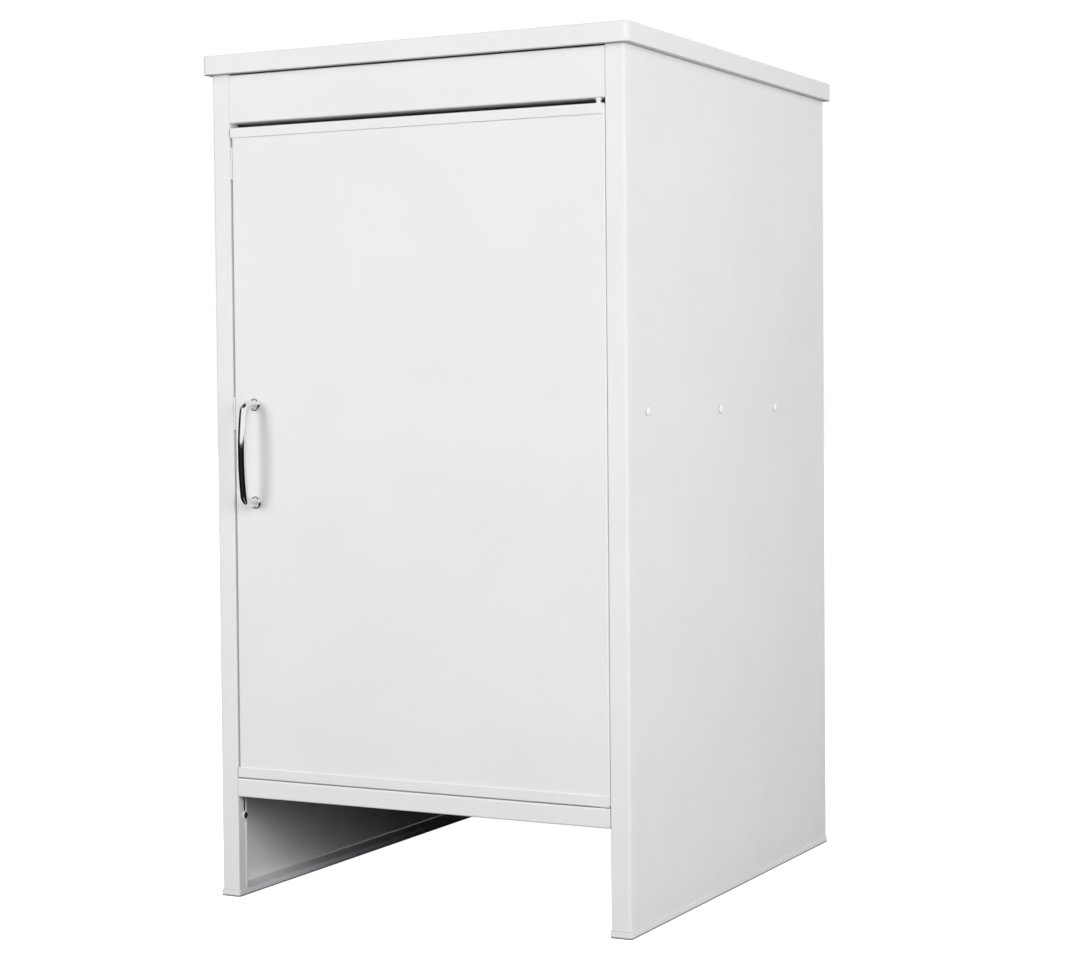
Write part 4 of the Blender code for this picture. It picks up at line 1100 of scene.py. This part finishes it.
# ------------------------------------------------------------------ hinge bushes
for node, (collar_r, collar_h), direction, z in (
    ("hinge_bush_top", (0.0032, 0.0015), (0, 0, 1), FASCIA_Z0 - GAP),
    ("hinge_bush_bottom", (0.0032, 0.0005), (0, 0, -1), FLOOR_Z + 0.0002),
):
    c = 0.00015
    bm = sleeve(
        [
            (BORE_R + c, -collar_h), (BORE_R, -collar_h + c), (BORE_R, 0.0030 - c),
            (BORE_R + c, 0.0030), (0.0026 - c, 0.0030), (0.0026, 0.0030 - c), (0.0026, 0),
            (collar_r - c, 0), (collar_r, -c), (collar_r, -collar_h + c),
            (collar_r - c, -collar_h),
        ],
        48, facing(direction, (HINGE_X, HINGE_Y, z)),
    )
    piece(node, mesh_from("bush", bm), NYLON, "carcass")

# ------------------------------------------------------------------ door
SKIN_Z0 = DOOR_Z0 + SHEET + GAP
SKIN_Z1 = DOOR_Z1 - SHEET - GAP
LIP = 0.0080
HANDLE_HOLES = (HANDLE_Z - HANDLE_PITCH / 2, HANDLE_Z + HANDLE_PITCH / 2)


def door_wave(p, s, fade):
    if abs(p.y) > 1e-6:
        return 0.0
    # flat where the pull's feet stand
    near_foot = min(math.hypot(p.x - HANDLE_X, s - z) for z in HANDLE_HOLES)
    calm = max(0.0, min(1.0, (near_foot - 0.010) / 0.05))
    return ripple(p.x, s, 1.0, 0.00030) * fade * calm


skin_me = mesh_from("skin", sheet(
    soft_ends(folded(
        [
            (DOOR_X1 - LIP, DOOR_D), (DOOR_X1, DOOR_D), (DOOR_X1, 0), (DOOR_X0, 0),
            (DOOR_X0, DOOR_D), (DOOR_X0 + LIP, DOOR_D),
        ],
        0.0007, 1, 6,
    )),
    stations(SKIN_Z0, SKIN_Z1), "z", door_wave,
))
cuts = [hole((0, 1, 0), (HANDLE_X, 0.0005, z), 0.0024, 0.006) for z in HANDLE_HOLES]
piece("door_skin", booled(skin_me, cuts), COAT, "door")

for label, z_edge, z_web in (
    ("top", DOOR_Z1 - CHANNEL_H, DOOR_Z1),
    ("bottom", DOOR_Z0 + CHANNEL_H + 0.0006, DOOR_Z0),
):
    y0, y1 = -CHANNEL_PROUD, DOOR_D + GAP + SHEET
    up = 1 if z_web > z_edge else -1
    me = mesh_from("channel", sheet(
        soft_ends(folded(
            [(y0, z_edge), (y0, z_web), (y1, z_web), (y1, z_edge)], 0.0004, up, 6
        ), 0.0003, EDGE),
        stations(CHANNEL_X0, CHANNEL_X1), "x",
    ))
    corner = bmesh.new()
    tri = [
        (CHANNEL_X1 - 0.0024, -CHANNEL_PROUD - 0.0020),
        (CHANNEL_X1 + 0.0020, -CHANNEL_PROUD - 0.0020),
        (CHANNEL_X1 + 0.0020, -CHANNEL_PROUD + 0.0024),
        (CHANNEL_X1, -CHANNEL_PROUD + 0.0024),
        (CHANNEL_X1 - 0.0007, -CHANNEL_PROUD + 0.0007),
        (CHANNEL_X1 - 0.0024, -CHANNEL_PROUD),
    ]
    low = [corner.verts.new((x, y, min(z_edge, z_web) - 0.002)) for x, y in tri]
    face = corner.faces.new(low)
    grown = bmesh.ops.extrude_face_region(corner, geom=[face])
    bmesh.ops.translate(
        corner, verts=[g for g in grown["geom"] if isinstance(g, bmesh.types.BMVert)],
        vec=(0, 0, abs(z_web - z_edge) + 0.004),
    )
    me = booled(me, [hole((0, 0, 1), (HINGE_X, HINGE_Y, z_web), 0.0023, 0.006, 40)])
    me = booled(me, [corner])
    piece("door_%s_channel" % label, me, COAT, "door")

stiff = mesh_from("stiff", sheet(
    soft_ends(folded(
        [
            (HANDLE_X - 0.0200, SHEET + GAP + 0.0003), (HANDLE_X - 0.0110, SHEET + GAP + 0.0003),
            (HANDLE_X - 0.0110, DOOR_D - GAP - SHEET),
            (HANDLE_X + 0.0110, DOOR_D - GAP - SHEET),
            (HANDLE_X + 0.0110, SHEET + GAP + 0.0003), (HANDLE_X + 0.0200, SHEET + GAP + 0.0003),
        ],
        0.0005, -1, 4,
    )),
    stations(SKIN_Z0 + 0.012, SKIN_Z1 - 0.012, 0.05), "z",
))
STRIKE_Z = (CATCH_Z0 + 0.0045, CATCH_Z0 + 0.0190)
STRIKE_RIVETS = [(x, sum(STRIKE_Z) / 2) for x in (HANDLE_X - 0.0070, HANDLE_X + 0.0070)]
cuts = [hole((0, 1, 0), (HANDLE_X, DOOR_D, z), 0.0024, 0.006) for z in HANDLE_HOLES]
cuts += [hole((0, 1, 0), (x, DOOR_D, z), 0.0015, 0.006) for x, z in STRIKE_RIVETS]
piece("door_stiffener", booled(stiff, cuts), COAT, "door")

handle_screw = screw_mesh("handle_screw_detail", 0.0035, 0.0020, 0.0018, 0.0155, ZINC)
for name, z in zip(("lower", "upper"), HANDLE_HOLES):
    set_in(
        "handle_screw_" + name, handle_screw, (0, 1, 0),
        (HANDLE_X, DOOR_D + 0.0001, z), "door",
    )

strike = mesh_from("strike", bevel_all(
    block(
        HANDLE_X - 0.0105, HANDLE_X + 0.0105, DOOR_D + GAP, STRIKE_BACK,
        STRIKE_Z[0], STRIKE_Z[1],
    ), 0.0003, 2,
))
cuts = [hole((0, 1, 0), (x, DOOR_D, z), 0.0015, 0.006) for x, z in STRIKE_RIVETS]
piece("strike_plate", booled(strike, cuts), ZINC, "door")

pin = dress(mesh_from("pin_detail", turned(
    [
        (0, 0.0066), (0.0011, 0.0066), (PIN_R - 0.0004, 0.0065), (PIN_R - 0.0001, 0.0062),
        (PIN_R, 0.0058), (PIN_R, -SHEET - GAP), (0.0023, -SHEET - GAP),
        (0.0025, -SHEET - GAP - 0.0002), (0.0025, -0.0030), (0.0023, -0.0032),
        (PIN_R, -0.0032), (PIN_R, -0.0087), (PIN_R - 0.0003, -0.0090), (0, -0.0090),
    ],
    48,
)), ZINC)
for label, z_web, up in (("top", DOOR_Z1, 1), ("bottom", DOOR_Z0, -1)):
    set_in(
        "hinge_pin_" + label, pin, (0, 0, up), (HINGE_X, HINGE_Y, z_web), "door"
    )

# ------------------------------------------------------------------ pull
GRIP_R, FLARE_R, FLARE_D, BEND_R = 0.0040, 0.0062, 0.0040, 0.0095
BOW_SLOPE = math.radians(9)


def handle_path(bow_steps=26, bend_steps=22):
    """Middle line of the upper half as (distance from the door, height), from the middle up:
    one shallow bow, a tight bend, then straight into the door."""
    half = HANDLE_PITCH / 2
    mid = HANDLE_REACH - GRIP_R
    bow_end = half - BEND_R * (1 - math.sin(BOW_SLOPE))
    bow_r = bow_end / math.sin(BOW_SLOPE)
    centre = Vector((mid - bow_r + (bow_r - BEND_R) * math.cos(BOW_SLOPE), half - BEND_R))
    line = []
    for k in range(bow_steps + 1):
        a = BOW_SLOPE * k / bow_steps
        line.append(Vector((mid - bow_r * (1 - math.cos(a)), bow_r * math.sin(a))))
    for k in range(1, bend_steps + 1):
        a = BOW_SLOPE + (math.pi / 2 - BOW_SLOPE) * k / bend_steps
        line.append(centre + BEND_R * Vector((math.cos(a), math.sin(a))))
    start = line[-1].x
    for k in range(1, 6):
        line.append(Vector((start + (FLARE_D + GAP - start) * k / 5, half)))
    for k in range(1, 15):
        near = math.sin(math.pi / 2 * k / 14)
        line.append(Vector((GAP + FLARE_D * (1 - near), half)))
    return line


def handle_mesh():
    bm = bmesh.new()
    around = 48
    upper = handle_path()
    path = [Vector((p.x, -p.y)) for p in upper[:0:-1]] + upper
    rings = []
    for n, p in enumerate(path):
        d = path[min(n + 1, len(path) - 1)] - path[max(n - 1, 0)]
        d = Vector((-d.x, d.y)).normalized()
        side = Vector((-d.y, d.x))
        near = max(0.0, min(1.0, 1 - (p.x - GAP) / FLARE_D))
        r = GRIP_R + (FLARE_R - 0.0001 - GRIP_R) * (1 - math.sqrt(1 - near * near))
        ring = []
        for k in range(around):
            a = 2 * math.pi * k / around
            off = side * (r * math.cos(a))
            ring.append(bm.verts.new((
                HANDLE_X + r * math.sin(a), off.x - p.x, HANDLE_Z + p.y + off.y
            )))
        rings.append(ring)
    for r, q in zip(rings, rings[1:]):
        for k in range(around):
            j = (k + 1) % around
            bm.faces.new((r[k], r[j], q[j], q[k]))
    bm.faces.new(rings[0])
    bm.faces.new(rings[-1])
    return bm


handle_me = booled(
    mesh_from("handle", handle_mesh()),
    [hole((0, 1, 0), (HANDLE_X, 0.0, z), 0.0021, 0.0110) for z in HANDLE_HOLES],
)
piece("handle", handle_me, CHROME, "door", angle=50)

# ------------------------------------------------------------------ floor of the studio
def studio_plane(name, half, z, dark, light, glow):
    m, t, shader = tree_of(name)
    at = add(t, "ShaderNodeTexCoord").outputs["Object"]
    patches = noise_of(t, at, 6.0, 3.0, 0.5)
    t.links.new(tint(t, patches, dark, light), shader.inputs["Base Color"])
    shader.inputs["Roughness"].default_value = 0.9
    shader.inputs["Specular IOR Level"].default_value = 0.0
    shader.inputs["Emission Color"].default_value = (1, 1, 1, 1)
    shader.inputs["Emission Strength"].default_value = glow
    bm = bmesh.new()
    bmesh.ops.create_grid(bm, x_segments=8, y_segments=8, size=half)
    me = mesh_from(name, bm)
    me.materials.append(m)
    ob = link(name, me)
    ob.location = (0, 0, z)
    ob.visible_glossy = False
    return ob


# the floor that the camera sees is a lit white sweep; the one below it catches the light
# near the cabinet, and the lit sweep farther off is the world's part below the horizon
studio_floor = studio_plane("studio_floor", 14.0, -0.0002, (0.925,) * 3, (0.94,) * 3, 1.0)
studio_floor.visible_diffuse = False
studio_floor.visible_shadow = False
studio_bounce = studio_plane("studio_bounce", 1.1, -0.0004, (0.21,) * 3, (0.23,) * 3, 0.0)
studio_bounce.visible_camera = False
# painted shade: a near-black square under the cabinet, unseen by the camera, stands in for the floor's shadow there
# in bounced and reflected light
studio_shade = studio_plane("studio_shade", 0.245, -0.0003, (0.035,) * 3, (0.045,) * 3, 0.0)
studio_shade.visible_camera = False
studio_shade.visible_glossy = True

# ------------------------------------------------------------------ light
world = bpy.data.worlds.new("studio")
bpy.context.scene.world = world
world.use_nodes = True
wt = world.node_tree
wt.nodes.clear()
direction = wt.nodes.new("ShaderNodeTexCoord").outputs["Generated"]
parts = wt.nodes.new("ShaderNodeSeparateXYZ")
wt.links.new(direction, parts.inputs["Vector"])
DIR_X, DIR_Y, DIR_Z = (parts.outputs[k] for k in "XYZ")


def step(source, low, high, out_low=0.0, out_high=1.0):
    return ramp(wt, source, low, high, out_low, out_high)


def combine(operation, a, b):
    n = wt.nodes.new("ShaderNodeMath")
    n.operation = operation
    for socket, value in zip(n.inputs, (a, b)):
        if isinstance(value, (int, float)):
            socket.default_value = value
        else:
            wt.links.new(value, socket)
    return n.outputs["Value"]


def toward(azimuth):
    """Cosine between a direction and the horizontal one at this azimuth from the front."""
    a = math.radians(azimuth)
    return combine(
        "ADD", combine("MULTIPLY", DIR_X, math.sin(a)), combine("MULTIPLY", DIR_Y, -math.cos(a))
    )


def background(name, value, strength, colour=(1, 1, 1)):
    n = wt.nodes.new("ShaderNodeBackground")
    n.name = name
    n.inputs["Strength"].default_value = strength
    if value is None:
        n.inputs["Color"].default_value = (*colour, 1)
        return n.outputs["Background"]
    wt.links.new(tint(wt, value, (0, 0, 0), colour), n.inputs["Color"])
    return n.outputs["Background"]


# what the soft light comes from: bands of the sky
SKY = {
    "sweep_far": (0.3, (1, 1, 1)),
    "sky_middle": (0.890, (1.0, 0.994, 0.995)),
}
bands = {
    "sky_top": step(DIR_Z, 0.50, 0.75),
    "sky_middle": combine("MULTIPLY", step(DIR_Z, 0.10, 0.30), step(DIR_Z, 0.50, 0.75, 1, 0)),
    "sky_low": combine("MULTIPLY", step(DIR_Z, -0.01, 0.01), step(DIR_Z, 0.10, 0.30, 1, 0)),
    "sweep_far": combine("MULTIPLY", step(DIR_Z, -0.01, 0.01, 1, 0), step(DIR_Z, -0.40, -0.20)),
    "sweep_near": step(DIR_Z, -0.40, -0.20, 1, 0),
}
soft = None
for name, (strength, colour) in SKY.items():
    shader = background(name, bands[name], strength, colour)
    if soft is None:
        soft = shader
    else:
        n = wt.nodes.new("ShaderNodeAddShader")
        wt.links.new(soft, n.inputs[0])
        wt.links.new(shader, n.inputs[1])
        soft = n.outputs["Shader"]

# what polished metal reflects: white screens above eye level in front and to the right,
# darkness to the left and overhead, and a dark floor with one lit strip
screens = combine("MULTIPLY", step(DIR_Z, 0.036, 0.060), step(toward(-72), 0.56, 0.80, 1.0, 0.03))
screens = combine("MULTIPLY", screens, step(DIR_Z, 0.70, 0.84, 1.0, 0.04))
strip = combine(
    "MULTIPLY", step(combine("ABSOLUTE", combine("SUBTRACT", DIR_X, 0.06), 0), 0.05, 0.17, 1, 0),
    combine(
        "MULTIPLY", step(DIR_Y, -0.1, 0.0, 1, 0),
        combine("MULTIPLY", step(DIR_Z, -0.02, 0.03, 1, 0), step(DIR_Z, -0.75, -0.35, 0.45, 0.05)),
    ),
)
gloss = background(
    "mirrored", combine("ADD", combine("ADD", screens, strip), 0.008), 1.0
)
seen = background("seen", None, 1.0)
light_path = wt.nodes.new("ShaderNodeLightPath")
mix = wt.nodes.new("ShaderNodeMixShader")
wt.links.new(light_path.outputs["Is Glossy Ray"], mix.inputs[0])
wt.links.new(soft, mix.inputs[1])
wt.links.new(gloss, mix.inputs[2])
mix_seen = wt.nodes.new("ShaderNodeMixShader")
wt.links.new(light_path.outputs["Is Camera Ray"], mix_seen.inputs[0])
wt.links.new(mix.outputs["Shader"], mix_seen.inputs[1])
wt.links.new(seen, mix_seen.inputs[2])
out = wt.nodes.new("ShaderNodeOutputWorld")
wt.links.new(mix_seen.outputs["Shader"], out.inputs["Surface"])

# name: place, aim, size, watts, colour
LIGHTS = {
    "far_m30_8": ((-1.188, -2.058, 0.754), (0, 0, 0.42), 1.0, 20.10, (0.998, 1.0, 0.982)),
    "far_m30_48": ((-0.803, -1.391, 2.204), (0, 0, 0.42), 1.0, 2.20, (1.0, 1.0, 0.99)),
    "far_30_25": ((1.088, -1.884, 1.434), (0, 0, 0.42), 1.0, 9.72, (1.0, 0.993, 0.883)),
    "far_60_8": ((2.058, -1.188, 0.754), (0, 0, 0.42), 1.0, 22.87, (0.905, 0.905, 1.0)),
    "far_140_8": ((1.528, 1.821, 0.754), (0, 0, 0.42), 1.0, 7.14, (0.772, 0.787, 1.0)),
    "near_side_low": ((1.2, 0.0, 0.35), (0.2, 0.0, 0.35), 0.6, 1.45, (1.0, 0.984, 0.589)),
}
for name, (place, aim, size, watts, colour) in LIGHTS.items():
    data = bpy.data.lights.new(name, "AREA")
    data.shape = "SQUARE"
    data.size = size
    data.energy = watts
    data.color = colour
    lamp = bpy.data.objects.new(name, data)
    bpy.context.scene.collection.objects.link(lamp)
    lamp.location = place
    lamp.rotation_euler = (Vector(aim) - Vector(place)).to_track_quat("-Z", "Y").to_euler()
    lamp.visible_camera = False
    lamp.visible_glossy = False

# ------------------------------------------------------------------ camera
PICTURE = (1076.0, 962.0)
FOCAL, CENTRE = 2313.7, (582.9, 463.79)      # pixels of that picture
EYE = Vector((1.12433, -2.12292, 0.50326))
turn_x, turn_y, turn_z = (math.radians(a) for a in (1.925, 26.644, 0.44))
base = Matrix(((1, 0, 0), (0, 0, -1), (0, 1, 0)))
look = (
    Matrix.Rotation(turn_y, 3, "Y") @ Matrix.Rotation(turn_x, 3, "X")
    @ Matrix.Rotation(turn_z, 3, "Z") @ base
)
camera_data = bpy.data.cameras.new("camera")
camera_data.sensor_width = 36.0
camera_data.lens = FOCAL / PICTURE[0] * 36.0
camera_data.shift_x = (PICTURE[0] / 2 - CENTRE[0]) / PICTURE[0]
camera_data.shift_y = (CENTRE[1] - PICTURE[1] / 2) / PICTURE[0]
camera_data.clip_start, camera_data.clip_end = 0.05, 60.0
camera = bpy.data.objects.new("camera", camera_data)
bpy.context.scene.collection.objects.link(camera)
pose = Matrix((look[0], -look[1], -look[2])).transposed().to_4x4()
pose.translation = EYE
camera.matrix_world = pose
bpy.context.scene.camera = camera

bpy.context.scene.view_settings.view_transform = "Standard"
bpy.context.scene.view_settings.look = "None"
bpy.context.scene.view_settings.exposure = 0.0
bpy.context.scene.view_settings.gamma = 1.0
